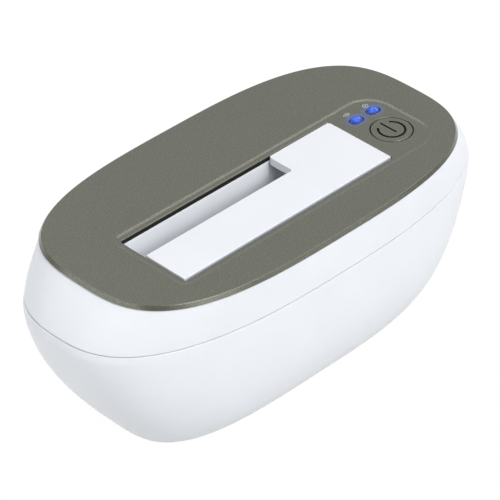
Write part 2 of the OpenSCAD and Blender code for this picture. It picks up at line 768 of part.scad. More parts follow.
// Rounded filling in the flap's inner corner
module slot_corner(x, y, under) {
    difference() {
        block([x - slot_fillet, y - slot_fillet, under], [x + slot_fillet, y + slot_fillet, flap_z]);
        post([x - slot_fillet, y + slot_fillet], slot_fillet, under - cut, flap_z + cut);
    }
}

// Steel pin held in the liner's end walls
module flap_pin() {
    color(steel) hinge_rod(pin_d / 2, liner_out_left, liner_out_right);
}

// Torsion spring on the pin, with one leg on the liner's front wall and one under the flap
module flap_spring() {
    wire_r = spring_wire / 2;
    coil_r = pin_d / 2 + pin_gap + wire_r;
    pitch = spring_wire + spring_turn_gap;
    length = spring_turns * pitch;
    steps = 12;
    start = bay_x - length / 2;
    tube_sides = 6;
    path = concat([[start - pitch / 2, hinge_y - coil_r, hinge_z - spring_leg]],
        [[start - pitch / 4, hinge_y - coil_r, hinge_z - coil_r]],
        [for (i = [0 : spring_turns * steps]) let (t = 180 - 360 * i / steps)
            [start + pitch * i / steps, hinge_y + coil_r * cos(t), hinge_z + coil_r * sin(t)]],
        [[start + length + pitch / 4, hinge_y - coil_r / 2, hinge_z + coil_r]],
        [[start + length + pitch / 2, hinge_y + coil_r,
            hinge_z + barrel_d / 2 + spring_clear - spring_wire]]);
    color(steel) tube(path, wire_r, tube_sides);
}

// Round tube swept along a list of points
function unit(v) = v / norm(v);
function turn_at(path, i) = unit(path[min(i + 1, len(path) - 1)] - path[max(i - 1, 0)]);
module tube(path, r, around) {
    loft_tube([for (i = [0 : len(path) - 1])
        let (along = turn_at(path, i), side = unit(cross(along, [1, 0, 0.001])), up = cross(side, along))
        [for (k = [0 : around - 1]) path[i] + r * (cos(360 * k / around) * side
            + sin(360 * k / around) * up)]]);
}
module loft_tube(rings) {
    loft([for (r = rings) [for (i = [len(r) - 1 : -1 : 0]) r[i]]]);
}

// Main circuit board on four standoffs
module main_board() {
    color(board_green) difference() {
        block([board_left, board_front, board_under], [board_right, board_rear, board_z]);
        for (p = standoffs) post(p, screw_d / 2 + screw_gap, board_under - cut, board_z + cut);
    }
}

// Upright drive connector, keyed at its long tongue
module sata_connector() {
    color(black) difference() {
        block([sata_x - sata_length / 2, sata_y - sata_width / 2, board_z],
            [sata_x + sata_length / 2, sata_y + sata_width / 2, sata_top]);
        block([sata_x - sata_length / 2 + sata_end, sata_y - sata_width / 2 + sata_wall, bay_z],
            [key_x - key_width / 2, sata_y + sata_width / 2 - sata_wall, sata_top + cut]);
        block([key_x + key_width / 2, sata_y - sata_width / 2 + sata_wall, bay_z],
            [sata_x + sata_length / 2 - sata_end, sata_y + sata_width / 2 - sata_wall, sata_top + cut]);
    }
}

// Gold contacts on the rear wall inside the drive connector
module sata_contacts() {
    pitch = 1.27;
    width = 0.6;
    thick = 0.35;
    mouth = 1;
    face_y = sata_y + sata_width / 2 - sata_wall;
    first = [for (i = [0 : 6]) sata_x - sata_length / 2 + sata_end + pitch + i * pitch];
    second = [for (i = [0 : 14]) key_x + key_width / 2 + pitch + i * pitch];
    color(gold) for (x = concat(first, second))
        block([x, face_y - thick, bay_z], [x + width, face_y, sata_top - mouth]);
}

// Bridge processor with a row of legs on each side
module bridge_chip() {
    leg_width = 0.5;
    leg_root = 0.2;
    lift = 0.1;
    half = chip_side / 2;
    color(black) translate([chip_x, chip_y, board_z]) {
        block([-half, -half, lift], [half, half, chip_height]);
        for (a = [0 : 90 : 270]) rotate(a) for (i = [-4 : 4])
            block([half - leg_root, i * chip_pitch - leg_width / 2, 0],
                [chip_half, i * chip_pitch + leg_width / 2, leg_width]);
    }
}

// Wireless module's own small board
module wifi_module() {
    color(board_green) block([module_left, module_rear - module_width, board_z],
        [module_left + module_length, module_rear, board_z + module_thick]);
}

// Pressed shield over the wireless module
module wifi_shield() {
    left = module_left + shield_margin;
    low = [left, module_rear - module_width + shield_margin, board_z + module_thick];
    high = [left + shield_length, module_rear - shield_margin, low[2] + shield_height];
    inset = [shield_sheet, shield_sheet, 0];
    color(steel) difference() {
        block(low, high);
        block(low + inset - [0, 0, cut], high - inset - [0, 0, shield_sheet]);
    }
}

// Three upright capacitors by the power socket
module capacitors() {
    color(black) for (i = [0 : 2])
        post([board_left + capacitor_inset + i * capacitor_pitch, capacitor_y], capacitor_d / 2,
            board_z, board_z + capacitor_height);
}

// Power inductor: round core on a square foot
module power_inductor() {
    half = inductor_side / 2;
    last = board_left + capacitor_inset + 2 * capacitor_pitch + capacitor_d / 2;
    at = [last + inductor_gap + half, capacitor_y];
    color([0.25, 0.25, 0.27]) {
        block([at[0] - half, at[1] - half, board_z], [at[0] + half, at[1] + half, board_z + inductor_foot]);
        post(at, inductor_d / 2, board_z + inductor_foot, board_z + inductor_height);
    }
}

// Crystal can beside the processor
module clock_crystal() {
    color(steel) oval([chip_x - chip_half - crystal_gap - crystal_length / 2, chip_y - crystal_width],
        crystal_length, crystal_width, board_z, board_z + crystal_height);
}

// Low-voltage power socket with a round bore to the rear
module power_jack() {
    color(black) difference() {
        block([jack_x - jack_width / 2, socket_y - jack_depth, board_z],
            [jack_x + jack_width / 2, socket_y, board_z + jack_height]);
        jack_rod(jack_bore / 2, socket_y - jack_depth + jack_back, socket_y + cut);
    }
}

module power_jack_pin() {
    color(steel) jack_rod(jack_pin_d / 2, socket_y - jack_depth + jack_back, socket_y - jack_pin_inset);
}

// Cylinder on the power socket's axis between two places along Y
module jack_rod(r, y0, y1) {
    translate([jack_x, y0, board_z + jack_height / 2]) rotate([-90, 0, 0]) cylinder(r = r, h = y1 - y0);
}

// Folded shell of the data socket: wide foot with a narrower top step
module usb_port_shell() {
    color(steel) difference() {
        usb_form(0, socket_y - usb_depth, socket_y);
        usb_form(usb_sheet, socket_y - usb_depth + usb_sheet, socket_y + cut);
    }
}

module usb_form(inset, y0, y1) {
    half = usb_width / 2 - inset;
    step = usb_step - inset;
    narrow = half - usb_chamfer;
    translate([usb_x, y1, board_z]) rotate([90, 0, 0]) linear_extrude(y1 - y0)
        polygon([[-half, inset], [half, inset], [half, step - usb_chamfer], [narrow, step],
            [narrow, usb_height - inset], [-narrow, usb_height - inset], [-narrow, step],
            [-half, step - usb_chamfer]]);
}

// Insulating tongue in the data socket
module usb_port_tongue() {
    half = 2.8;
    mouth = 2;
    tongue_height = 2.8;
    bar_height = 1.2;
    tongue_z = board_z + (usb_step - tongue_height) / 2;
    bar_z = board_z + usb_step + (usb_height - usb_step - bar_height) / 2;
    back = socket_y - usb_depth + usb_sheet;
    color(white) {
        block([usb_x - half, back, tongue_z], [usb_x + half, socket_y - mouth, tongue_z + tongue_height]);
        block([usb_x - half, back, bar_z], [usb_x + half, socket_y - mouth, bar_z + bar_height]);
    }
}

// Network socket: moulded block with the stepped mouth for the plug and its latch
module lan_jack() {
    back = socket_y - lan_mouth_depth;
    front = socket_y + cut;
    mouth_low = board_z + 4;
    latch_low = board_z + 2.6;
    tip_low = board_z + 1.4;
    latch_half = 3;
    tip_half = 1.6;
    color(black) difference() {
        block([lan_x - lan_width / 2, socket_y - lan_depth, board_z],
            [lan_x + lan_width / 2, socket_y, board_z + lan_height]);
        block([lan_x - lan_mouth_width / 2, back, mouth_low], [lan_x + lan_mouth_width / 2, front, lan_roof]);
        block([lan_x - latch_half, back, latch_low], [lan_x + latch_half, front, mouth_low + cut]);
        block([lan_x - tip_half, back, tip_low], [lan_x + tip_half, front, latch_low + cut / 2]);
    }
}

// Eight contact wires under the roof of the network socket
module lan_contacts() {
    pitch = 1.02;
    half = 0.2;
    drop = 0.9;
    length = 8;
    back = socket_y - lan_mouth_depth + 1.5;
    color(gold) for (i = [0 : 7]) let (x = lan_x + (i - 3.5) * pitch)
        block([x - half, back, lan_roof - drop], [x + half, back + length, lan_roof]);
}

// Side-entry cable header on the main board
module main_header() {
    color(white) block([header_right - header_length, header_y - header_width / 2, board_z],
        [header_right, header_y + header_width / 2, board_z + header_height]);
}

// Cable header under the control board
module control_header() {
    color(white) block([cable_x - header_length / 2, header_y - header_width / 2,
            control_z - board_thick - header_height],
        [cable_x + header_length / 2, header_y + header_width / 2, control_z - board_thick]);
}

// Flat cable from the control board down the bay's end and under it to the main board
module control_cable() {
    top = control_z - board_thick - header_height;
    bend_z = cable_z + cable_bend;
    half = cable_thick / 2;
    color([0.85, 0.86, 0.88]) translate([0, header_y + cable_width / 2, 0]) rotate([90, 0, 0])
        linear_extrude(cable_width) {
            translate([cable_x - half, bend_z]) square([cable_thick, top - bend_z]);
            translate([header_right, cable_z - half])
                square([cable_x - cable_bend - header_right, cable_thick]);
            intersection() {
                translate([cable_x - cable_bend, bend_z]) difference() {
                    circle(cable_bend + half);
                    circle(cable_bend - half);
                }
                translate([cable_x - cable_bend, cable_z - half]) square(cable_bend + half);
            }
        }
}

// Small board behind the controls
module control_board() {
    color(board_green) difference() {
        block([control_left, control_front, control_z - board_thick],
            [control_right, control_rear, control_z]);
        for (p = control_points)
            post(p, screw_d / 2 + screw_gap, control_z - board_thick - cut, control_z + cut);
    }
}

module tact_switch() {
    color(black) difference() {
        block([button_x - switch_side / 2, button_y - switch_side / 2, control_z],
            [button_x + switch_side / 2, button_y + switch_side / 2, switch_top]);
        post([button_x, button_y], plunger_d / 2 + plunger_gap,
            switch_top - button_travel - plunger_root - plunger_gap, switch_top + cut);
    }
}

module switch_plunger() {
    color([0.75, 0.73, 0.68]) post([button_x, button_y], plunger_d / 2,
        switch_top - plunger_root, plunger_top);
}

// Flush round button with a retaining rim under the deck and a stem to the switch
module power_button() {
    rim_top = deck_z - rim_gap;
    rim_low = rim_top - rim_thick;
    at = [button_x, button_y];
    color(taupe) difference() {
        union() {
            post(at, button_r, rim_low, top_z - recess_depth);
            post(at, rim_r, rim_low, rim_top);
            post(at, stem_d / 2, plunger_top, rim_top);
        }
        difference() {
            post(at, button_r - button_wall, rim_low - cut, panel_z);
            post(at, stem_d / 2, plunger_top, panel_z + cut);
        }
    }
}

// Light-guiding lens with a flange under the deck
module indicator_lens(x) {
    low = deck_z - lens_foot;
    at = [x, lens_y];
    color(blue) {
        oval(at, lens_length, lens_width, low, top_z - recess_depth + lens_dome);
        oval(at, lens_length + 2 * lens_flange, lens_width + 2 * lens_flange, low, deck_z);
        post(at, guide_d / 2, control_z + light_height + light_gap, low);
    }
}

module led_lens_network() {
    indicator_lens(lens_network_x);
}

module led_lens_drive() {
    indicator_lens(lens_drive_x);
}

// Light-emitting chips under the lenses
module led_chips() {
    color([0.95, 0.93, 0.80]) for (x = [lens_network_x, lens_drive_x])
        block([x - light_length / 2, lens_y - light_width / 2, control_z],
            [x + light_length / 2, lens_y + light_width / 2, control_z + light_height]);
}

module case_screws() {
    color(steel) for (p = case_points) screw(p, case_seat, case_screw);
}

module board_screws() {
    color(steel) for (p = standoffs) translate([p[0], p[1], board_z]) rotate([180, 0, 0])
        screw([0, 0], 0, short_screw);
}

module control_screws() {
    color(steel) for (p = control_points) screw(p, control_z - board_thick, short_screw);
}

module bay_screws() {
    color(steel) for (p = tab_points) screw(p, tab_z - tab_thick, short_screw);
}

module rubber_feet() {
    foot_r = foot_d / 2 - foot_gap;
    color([0.16, 0.16, 0.17]) for (p = feet) translate([p[0], p[1], 0]) rotate_extrude()
        polygon([[0, 0], [foot_r - foot_chamfer, 0], [foot_r, foot_chamfer], [foot_r, foot_height],
            [0, foot_height]]);
}

lower_shell();
upper_shell();
top_panel();
bay_liner();
drive_flap();
flap_pin();
flap_spring();
main_board();
sata_connector();
sata_contacts();
bridge_chip();
wifi_module();
wifi_shield();
capacitors();
power_inductor();
clock_crystal();
power_jack();
power_jack_pin();
usb_port_shell();
usb_port_tongue();
lan_jack();
lan_contacts();
main_header();
control_header();
control_cable();
control_board();
tact_switch();
switch_plunger();
power_button();
led_lens_network();
led_lens_drive();
led_chips();
case_screws();
board_screws();
control_screws();
bay_screws();
rubber_feet();
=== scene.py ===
import math

import bpy
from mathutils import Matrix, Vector


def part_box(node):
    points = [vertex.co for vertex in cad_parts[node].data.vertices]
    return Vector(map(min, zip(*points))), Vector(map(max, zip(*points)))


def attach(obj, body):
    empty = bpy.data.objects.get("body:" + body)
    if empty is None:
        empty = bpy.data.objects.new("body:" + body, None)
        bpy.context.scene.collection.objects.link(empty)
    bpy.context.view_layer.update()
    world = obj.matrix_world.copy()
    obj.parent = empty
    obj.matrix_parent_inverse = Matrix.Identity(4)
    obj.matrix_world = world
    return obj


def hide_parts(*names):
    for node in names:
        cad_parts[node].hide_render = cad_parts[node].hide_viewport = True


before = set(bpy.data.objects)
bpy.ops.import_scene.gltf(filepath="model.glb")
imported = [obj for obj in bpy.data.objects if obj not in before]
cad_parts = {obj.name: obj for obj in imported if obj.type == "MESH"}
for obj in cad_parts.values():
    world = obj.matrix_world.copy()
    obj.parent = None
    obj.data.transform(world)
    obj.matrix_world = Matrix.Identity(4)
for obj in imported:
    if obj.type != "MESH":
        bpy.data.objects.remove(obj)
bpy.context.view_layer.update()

mm = 0.001
spare = 1 * mm    # how far a cutter reaches past what it cuts
tiny = 1e-6       # points closer than this count as one
print("stage: frame loaded")


# everyday helpers

def deselectAll():
    if bpy.context.mode != "OBJECT":
        bpy.ops.object.mode_set(mode="OBJECT")
    bpy.ops.object.select_all(action="DESELECT")


def makeActive(piece):
    deselectAll()
    piece.select_set(True)
    bpy.context.view_layer.objects.active = piece


def editMode():
    bpy.ops.object.mode_set(mode="EDIT")


def objectMode():
    bpy.ops.object.mode_set(mode="OBJECT")


def clearPicks(piece, kind):
    makeActive(piece)
    editMode()
    bpy.ops.mesh.select_mode(type=kind)
    bpy.ops.mesh.select_all(action="DESELECT")
    objectMode()


def selectFaces(piece, test):
    # picks faces by centre and normal, then goes to edit mode
    clearPicks(piece, "FACE")
    for face in piece.data.polygons:
        face.select = bool(test(face.center, face.normal))
    editMode()


def selectEdges(piece, test):
    # picks edges by their two ends, then goes to edit mode
    clearPicks(piece, "EDGE")
    points = piece.data.vertices
    for edge in piece.data.edges:
        edge.select = bool(test(points[edge.vertices[0]].co, points[edge.vertices[1]].co))
    editMode()


def settle(piece):
    # place, turn and scale go into the mesh
    makeActive(piece)
    bpy.ops.object.transform_apply(location=True, rotation=True, scale=True)
    return piece


def addBlock(name, low, high):
    deselectAll()
    middle = [(a + b) / 2 for a, b in zip(low, high)]
    bpy.ops.mesh.primitive_cube_add(size=1, location=middle, scale=[b - a for a, b in zip(low, high)])
    piece = bpy.context.active_object
    piece.name = name
    return settle(piece)


def addRod(name, at, radius, low, high, corners=96):
    deselectAll()
    bpy.ops.mesh.primitive_cylinder_add(vertices=corners, radius=radius, depth=high - low,
                                        location=(at[0], at[1], (low + high) / 2))
    piece = bpy.context.active_object
    piece.name = name
    return settle(piece)


def roundUprights(piece, radius, steps):
    def upright(a, b):
        return abs(a.x - b.x) < tiny and abs(a.y - b.y) < tiny
    selectEdges(piece, upright)
    bpy.ops.mesh.bevel(offset=radius, segments=steps, affect="EDGES", clamp_overlap=False)
    objectMode()


def combine(piece, other, operation):
    # the other solid is used up
    makeActive(piece)
    bpy.ops.object.modifier_add(type="BOOLEAN")
    step = piece.modifiers[-1]
    step.operation = operation
    step.solver = "EXACT"
    step.object = other
    bpy.ops.object.modifier_apply(modifier=step.name)
    bpy.data.objects.remove(other, do_unlink=True)


def cutAway(piece, cutter):
    combine(piece, cutter, "DIFFERENCE")


def weldOn(piece, extra):
    combine(piece, extra, "UNION")


def smoothOut(piece, degrees=35):
    makeActive(piece)
    bpy.ops.object.shade_smooth_by_angle(angle=math.radians(degrees))
    bpy.ops.object.modifier_add(type="WEIGHTED_NORMAL")
    even = piece.modifiers[-1]
    even.mode = "FACE_AREA"
    even.weight = 100
    even.keep_sharp = True
    bpy.ops.object.modifier_apply(modifier=even.name)


def wrapRings(name, rings):
    # a circle is extruded level by level, then every ring takes its own outline
    count = len(rings[0])
    deselectAll()
    bpy.ops.mesh.primitive_circle_add(vertices=count, radius=1, fill_type="NOTHING", location=(0, 0, 0))
    piece = bpy.context.active_object
    piece.name = name
    editMode()
    bpy.ops.mesh.select_mode(type="EDGE")
    bpy.ops.mesh.select_all(action="SELECT")
    for _ in rings[1:]:
        bpy.ops.mesh.extrude_region_move(TRANSFORM_OT_translate={"value": (0, 0, 1)})
    objectMode()
    turn = 2 * math.pi / count
    for point in piece.data.vertices:
        spot = round(math.atan2(point.co.y, point.co.x) / turn) % count
        point.co = rings[round(point.co.z)][spot]
    editMode()
    bpy.ops.mesh.select_all(action="SELECT")
    bpy.ops.mesh.remove_doubles(threshold=1e-7)
    bpy.ops.mesh.fill_holes(sides=0)
    bpy.ops.mesh.select_all(action="SELECT")
    bpy.ops.mesh.normals_make_consistent(inside=False)
    objectMode()
    return piece


def roundedOutline(box, corners, level, grow=0.0, steps=12):
    # a rectangle with four corner radii, from rear right round to front right
    x0, x1, y0, y1 = box[0] - grow, box[1] + grow, box[2] - grow, box[3] + grow
    places = ((x1, y1, -1, -1), (x0, y1, 1, -1), (x0, y0, 1, 1), (x1, y0, -1, 1))
    spots = []
    for quarter, (x, y, across, along) in enumerate(places):
        radius = corners[quarter] + grow
        for i in range(steps + 1):
            turn = math.pi / 2 * (quarter + i / steps)
            spots.append((x + across * radius + radius * math.cos(turn),
                          y + along * radius + radius * math.sin(turn), level))
    return spots


def boxAround(middle, length, width):
    return (middle.x - length / 2, middle.x + length / 2, middle.y - width / 2, middle.y + width / 2)


def holeCutter(box, corner, low, top, ease=0.0, steps=5):
    # cuts a hole with a rounded rim, and a narrow ring of wall below the rim
    corners = [corner] * 4
    wallRing = 0.3 * mm
    rings = [roundedOutline(box, corners, level) for level in (low, top - ease - wallRing, top - ease)]
    if ease:
        for i in range(1, steps + 1):
            turn = math.pi / 2 * i / steps
            level = top - ease * (1 - math.sin(turn))
            rings.append(roundedOutline(box, corners, level, ease * (1 - math.cos(turn))))
    rings.append(roundedOutline(box, corners, top + 2 * spare, ease))
    return wrapRings("cutter", rings)


def copyNode(name, node):
    # a copy of the CAD node, welded, with its flat faces joined
    piece = bpy.data.objects.new(name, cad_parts[node].data.copy())
    bpy.context.scene.collection.objects.link(piece)
    piece.data.materials.clear()
    makeActive(piece)
    editMode()
    bpy.ops.mesh.select_all(action="SELECT")
    bpy.ops.mesh.remove_doubles(threshold=1e-6)
    bpy.ops.mesh.dissolve_limited(angle_limit=math.radians(1))
    objectMode()
    return piece


def easeEdges(piece, width, steps=2):
    makeActive(piece)
    bpy.ops.object.modifier_add(type="BEVEL")
    ease = piece.modifiers[-1]
    ease.width = width
    ease.segments = steps
    ease.limit_method = "ANGLE"
    ease.angle_limit = math.radians(40)
    ease.use_clamp_overlap = True
    ease.harden_normals = False
    bpy.ops.object.modifier_apply(modifier=ease.name)


def quarterMiddles(node):
    # middles of four like solids, one in each quarter of the plan
    groups = {}
    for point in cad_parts[node].data.vertices:
        groups.setdefault((point.co.x > 0, point.co.y > 0), []).append(point.co)
    middles = []
    for spots in groups.values():
        across, along = [p.x for p in spots], [p.y for p in spots]
        middles.append(Vector(((min(across) + max(across)) / 2, (min(along) + max(along)) / 2, 0)))
    return middles


def finishPiece(piece, material, body, node):
    piece.data.materials.clear()
    piece.data.materials.append(material)
    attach(piece, body)
    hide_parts(node)


def darkenFaces(piece, finish, test):
    # gives the faces that pass the test a darker finish, for painted shade and for bare edges
    piece.data.materials.append(finish)
    selectFaces(piece, test)
    piece.active_material_index = len(piece.data.materials) - 1
    bpy.ops.object.material_slot_assign()
    objectMode()


# camera, at the photograph's place

camSet = {
    "azimuth": -45.05,
    "elevation": 36.64,
    "distance": 1.025,
    "target": (-0.03097, -0.02921, 0.073),
    "lens": 214.0,
    "sensor": 36,
    "near": 0.05,
    "far": 20,
}


def placeCamera():
    turn = math.radians(camSet["azimuth"])
    rise = math.radians(camSet["elevation"])
    back = Vector((math.sin(turn) * math.cos(rise), -math.cos(turn) * math.cos(rise), math.sin(rise)))
    data = bpy.data.cameras.new("photoCamera")
    data.lens = camSet["lens"]
    data.sensor_width = camSet["sensor"]
    data.clip_start = camSet["near"]
    data.clip_end = camSet["far"]
    camera = bpy.data.objects.new("photoCamera", data)
    bpy.context.scene.collection.objects.link(camera)
    camera.location = Vector(camSet["target"]) + back * camSet["distance"]
    camera.rotation_euler = (-back).to_track_quat("-Z", "Y").to_euler()
    bpy.context.scene.camera = camera


placeCamera()
print("stage: camera placed")


# finishes

def newFinish(name):
    finish = bpy.data.materials.new(name)
    finish.use_nodes = True
    nodes = finish.node_tree.nodes
    shader = nodes["Principled BSDF"]
    return finish, nodes, finish.node_tree.links, shader


def speckle(nodes, links, scale, detail=2.0):
    place = nodes.new("ShaderNodeTexCoord")
    noise = nodes.new("ShaderNodeTexNoise")
    noise.inputs["Scale"].default_value = scale
    noise.inputs["Detail"].default_value = detail
    links.new(place.outputs["Object"], noise.inputs["Vector"])
    return noise


def ramp(nodes, links, source, stops):
    band = nodes.new("ShaderNodeValToRGB")
    links.new(source, band.inputs["Fac"])
    parts = band.color_ramp.elements
    while len(parts) < len(stops):
        parts.new(0.5)
    for part, (spot, tone) in zip(parts, stops):
        part.position = spot
        part.color = (*tone, 1) if isinstance(tone, tuple) else (tone, tone, tone, 1)
    return band


def multiply(nodes, links, one, two):
    mixer = nodes.new("ShaderNodeMix")
    mixer.data_type = "RGBA"
    mixer.blend_type = "MULTIPLY"
    mixer.inputs["Factor"].default_value = 1
    links.new(one, mixer.inputs["A"])
    links.new(two, mixer.inputs["B"])
    return mixer.outputs["Result"]


def larger(nodes, links, one, two):
    either = nodes.new("ShaderNodeMath")
    either.operation = "MAXIMUM"
    links.new(one, either.inputs[0])
    links.new(two, either.inputs[1])
    return either.outputs["Value"]


def ovalDistance(nodes, links, middle, half):
    # 0 in the middle of an oval and 1 at its edge
    place = nodes.new("ShaderNodeTexCoord")
    shift = nodes.new("ShaderNodeMapping")
    shift.vector_type = "TEXTURE"
    shift.inputs["Location"].default_value = middle
    shift.inputs["Scale"].default_value = half
    links.new(place.outputs["Object"], shift.inputs["Vector"])
    away = nodes.new("ShaderNodeVectorMath")
    away.operation = "LENGTH"
    links.new(shift.outputs["Vector"], away.inputs[0])
    return away.outputs["Value"]


def addBump(nodes, links, source, shader, strength, distance):
    bump = nodes.new("ShaderNodeBump")
    bump.inputs["Strength"].default_value = strength
    bump.inputs["Distance"].default_value = distance
    links.new(source, bump.inputs["Height"])
    links.new(bump.outputs["Normal"], shader.inputs["Normal"])


def mouldedPlastic(name, tone, rough, specular=0.5, mottle=0.012, grain=9000, bump=0.04):
    # fine spark-eroded grain with a barely visible drift in tone
    finish, nodes, links, shader = newFinish(name)
    drift = speckle(nodes, links, 60, 3)
    low = tuple(c * (1 - mottle) for c in tone)
    high = tuple(min(1, c * (1 + mottle)) for c in tone)
    tint = ramp(nodes, links, drift.outputs["Fac"], [(0.3, low), (0.7, high)])
    pores = ramp(nodes, links, speckle(nodes, links, 2300, 1).outputs["Fac"], [(0.3, 0.965), (0.6, 1.0)])
    dust = multiply(nodes, links, tint.outputs["Color"], pores.outputs["Color"])
    links.new(dust, shader.inputs["Base Color"])
    fine = speckle(nodes, links, grain, 2)
    gloss = ramp(nodes, links, fine.outputs["Fac"], [(0.3, rough - 0.04), (0.7, rough + 0.04)])
    links.new(gloss.outputs["Color"], shader.inputs["Roughness"])
    addBump(nodes, links, fine.outputs["Fac"], shader, bump, 0.0002)
    shader.inputs["Specular IOR Level"].default_value = specular
    return finish


# the lenses' light on the panel, painted into its colour as a blue tint
paintedGlowSet = {
    "half": (0.0052, 0.0042, 0.02),
    "start": 0.5,
    "strength": 0.5,
    "tone": (0.07, 0.15, 0.62, 1),
}


def paintedPanel(name, lensSpots):
    # satin paint with fine metal flake, and the lit lenses' blue glow painted into the colour round them
    finish, nodes, links, shader = newFinish(name)
    flake = speckle(nodes, links, 2300, 1)
    drift = speckle(nodes, links, 45, 2)
    tone = ramp(nodes, links, flake.outputs["Fac"],
                [(0.28, (0.076, 0.078, 0.056)), (0.5, (0.100, 0.102, 0.074)),
                 (0.64, (0.125, 0.127, 0.095)), (0.74, (0.174, 0.176, 0.136))])
    wash = ramp(nodes, links, drift.outputs["Fac"], [(0.3, 0.96), (0.7, 1.0)])
    paint = multiply(nodes, links, tone.outputs["Color"], wash.outputs["Color"])
    paintedGlows = []
    for spot in lensSpots:
        fade = nodes.new("ShaderNodeMapRange")
        fade.inputs["From Min"].default_value = paintedGlowSet["start"]
        fade.inputs["From Max"].default_value = 1.0
        fade.inputs["To Min"].default_value = paintedGlowSet["strength"]
        fade.inputs["To Max"].default_value = 0.0
        links.new(ovalDistance(nodes, links, spot, paintedGlowSet["half"]), fade.inputs["Value"])
        paintedGlows.append(fade.outputs["Result"])
    blue = nodes.new("ShaderNodeMix")
    blue.data_type = "RGBA"
    blue.inputs["B"].default_value = paintedGlowSet["tone"]
    links.new(larger(nodes, links, *paintedGlows), blue.inputs["Factor"])
    links.new(paint, blue.inputs["A"])
    links.new(blue.outputs["Result"], shader.inputs["Base Color"])
    gloss = ramp(nodes, links, flake.outputs["Fac"], [(0.35, 0.38), (0.72, 0.30)])
    links.new(gloss.outputs["Color"], shader.inputs["Roughness"])
    addBump(nodes, links, flake.outputs["Fac"], shader, 0.06, 0.0001)
    shader.inputs["Metallic"].default_value = 0.35
    shader.inputs["Coat Weight"].default_value = 0.9
    shader.inputs["Coat Roughness"].default_value = 0.2
    shader.inputs["Specular IOR Level"].default_value = 0.45
    return finish


def litLens(name, middle, half):
    # bright blue heart, dark blue rim
    finish, nodes, links, shader = newFinish(name)
    far = ovalDistance(nodes, links, middle, half)
    streak = speckle(nodes, links, 900, 2)
    heart = ramp(nodes, links, streak.outputs["Fac"],
                 [(0.36, (0.012, 0.055, 0.62)), (0.5, (0.04, 0.16, 0.95)), (0.66, (0.16, 0.40, 1.0))])
    edge = ramp(nodes, links, far, [(0.62, 1.0), (0.80, 0.4), (0.92, 0.05)])
    dim = multiply(nodes, links, heart.outputs["Color"], edge.outputs["Color"])
    links.new(dim, shader.inputs["Emission Color"])
    shader.inputs["Emission Strength"].default_value = 0.9
    shader.inputs["Base Color"].default_value = (0.01, 0.02, 0.12, 1)
    gloss = ramp(nodes, links, streak.outputs["Fac"], [(0.3, 0.14), (0.7, 0.24)])
    links.new(gloss.outputs["Color"], shader.inputs["Roughness"])
    shader.inputs["Specular IOR Level"].default_value = 0.35
    return finish


def brushedMetal(name, tone, rough=0.3):
    finish, nodes, links, shader = newFinish(name)
    grain = speckle(nodes, links, 2600, 3)
    tint = ramp(nodes, links, grain.outputs["Fac"],
                [(0.3, tuple(c * 0.88 for c in tone)), (0.7, tone)])
    links.new(tint.outputs["Color"], shader.inputs["Base Color"])
    gloss = ramp(nodes, links, grain.outputs["Fac"], [(0.3, rough - 0.06), (0.7, rough + 0.08)])
    links.new(gloss.outputs["Color"], shader.inputs["Roughness"])
    shader.inputs["Metallic"].default_value = 1
    return finish


def maskedBoard(name):
    # green solder mask with a faint pattern of tracks
    finish, nodes, links, shader = newFinish(name)
    place = nodes.new("ShaderNodeTexCoord")
    tracks = nodes.new("ShaderNodeTexBrick")
    tracks.inputs["Scale"].default_value = 420
    tracks.inputs["Mortar Size"].default_value = 0.03
    tracks.inputs["Color1"].default_value = (0.010, 0.085, 0.035, 1)
    tracks.inputs["Color2"].default_value = (0.012, 0.10, 0.042, 1)
    tracks.inputs["Mortar"].default_value = (0.03, 0.17, 0.07, 1)
    links.new(place.outputs["Object"], tracks.inputs["Vector"])
    links.new(tracks.outputs["Color"], shader.inputs["Base Color"])
    shader.inputs["Roughness"].default_value = 0.32
    return finish


# places that several pieces share

panelLow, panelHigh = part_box("top_panel")
linerLow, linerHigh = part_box("bay_liner")
buttonLow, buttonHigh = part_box("power_button")
buttonMiddle = (buttonLow + buttonHigh) / 2
lensBoxes = {"lensNetwork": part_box("led_lens_network"), "lensDrive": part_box("led_lens_drive")}
lensSet = {
    "length": 6.0 * mm,
    "width": 3.9 * mm,
    "gap": 0.15 * mm,
    "holeEase": 0.12 * mm,
    "dome": 0.35 * mm,
    "domeShare": 0.8,         # how much of the width the dome curves over
    "domeSteps": 8,
    "depth": 3.2 * mm,        # below the panel
    "glowHeight": 20 * mm,
}
lensMiddles = {key: (low + high) / 2 for key, (low, high) in lensBoxes.items()}
topLevel = panelHigh.z
panelThick = 1.8 * mm
panelUnder = topLevel - panelThick
recessDepth = 0.4 * mm
recessLevel = topLevel - recessDepth
lensSpots = [(spot.x, spot.y, recessLevel) for spot in lensMiddles.values()]

whiteShell = mouldedPlastic("whiteShell", (0.695, 0.717, 0.75), 0.38)
whiteFlap = mouldedPlastic("whiteFlap", (0.65, 0.664, 0.70), 0.42)
# grey-blue painted shade for the flap's front edge
flapEdgePaintedShade = mouldedPlastic("flapEdgePaintedShade", (0.36, 0.39, 0.44), 0.55, 0.2)
whiteLiner = mouldedPlastic("whiteLiner", (0.90, 0.93, 0.97), 0.5)
panelPaint = paintedPanel("panelPaint", lensSpots)
# the button's paint carries the same painted blue glow near the lenses
buttonPaint = paintedPanel("buttonPaint", lensSpots)
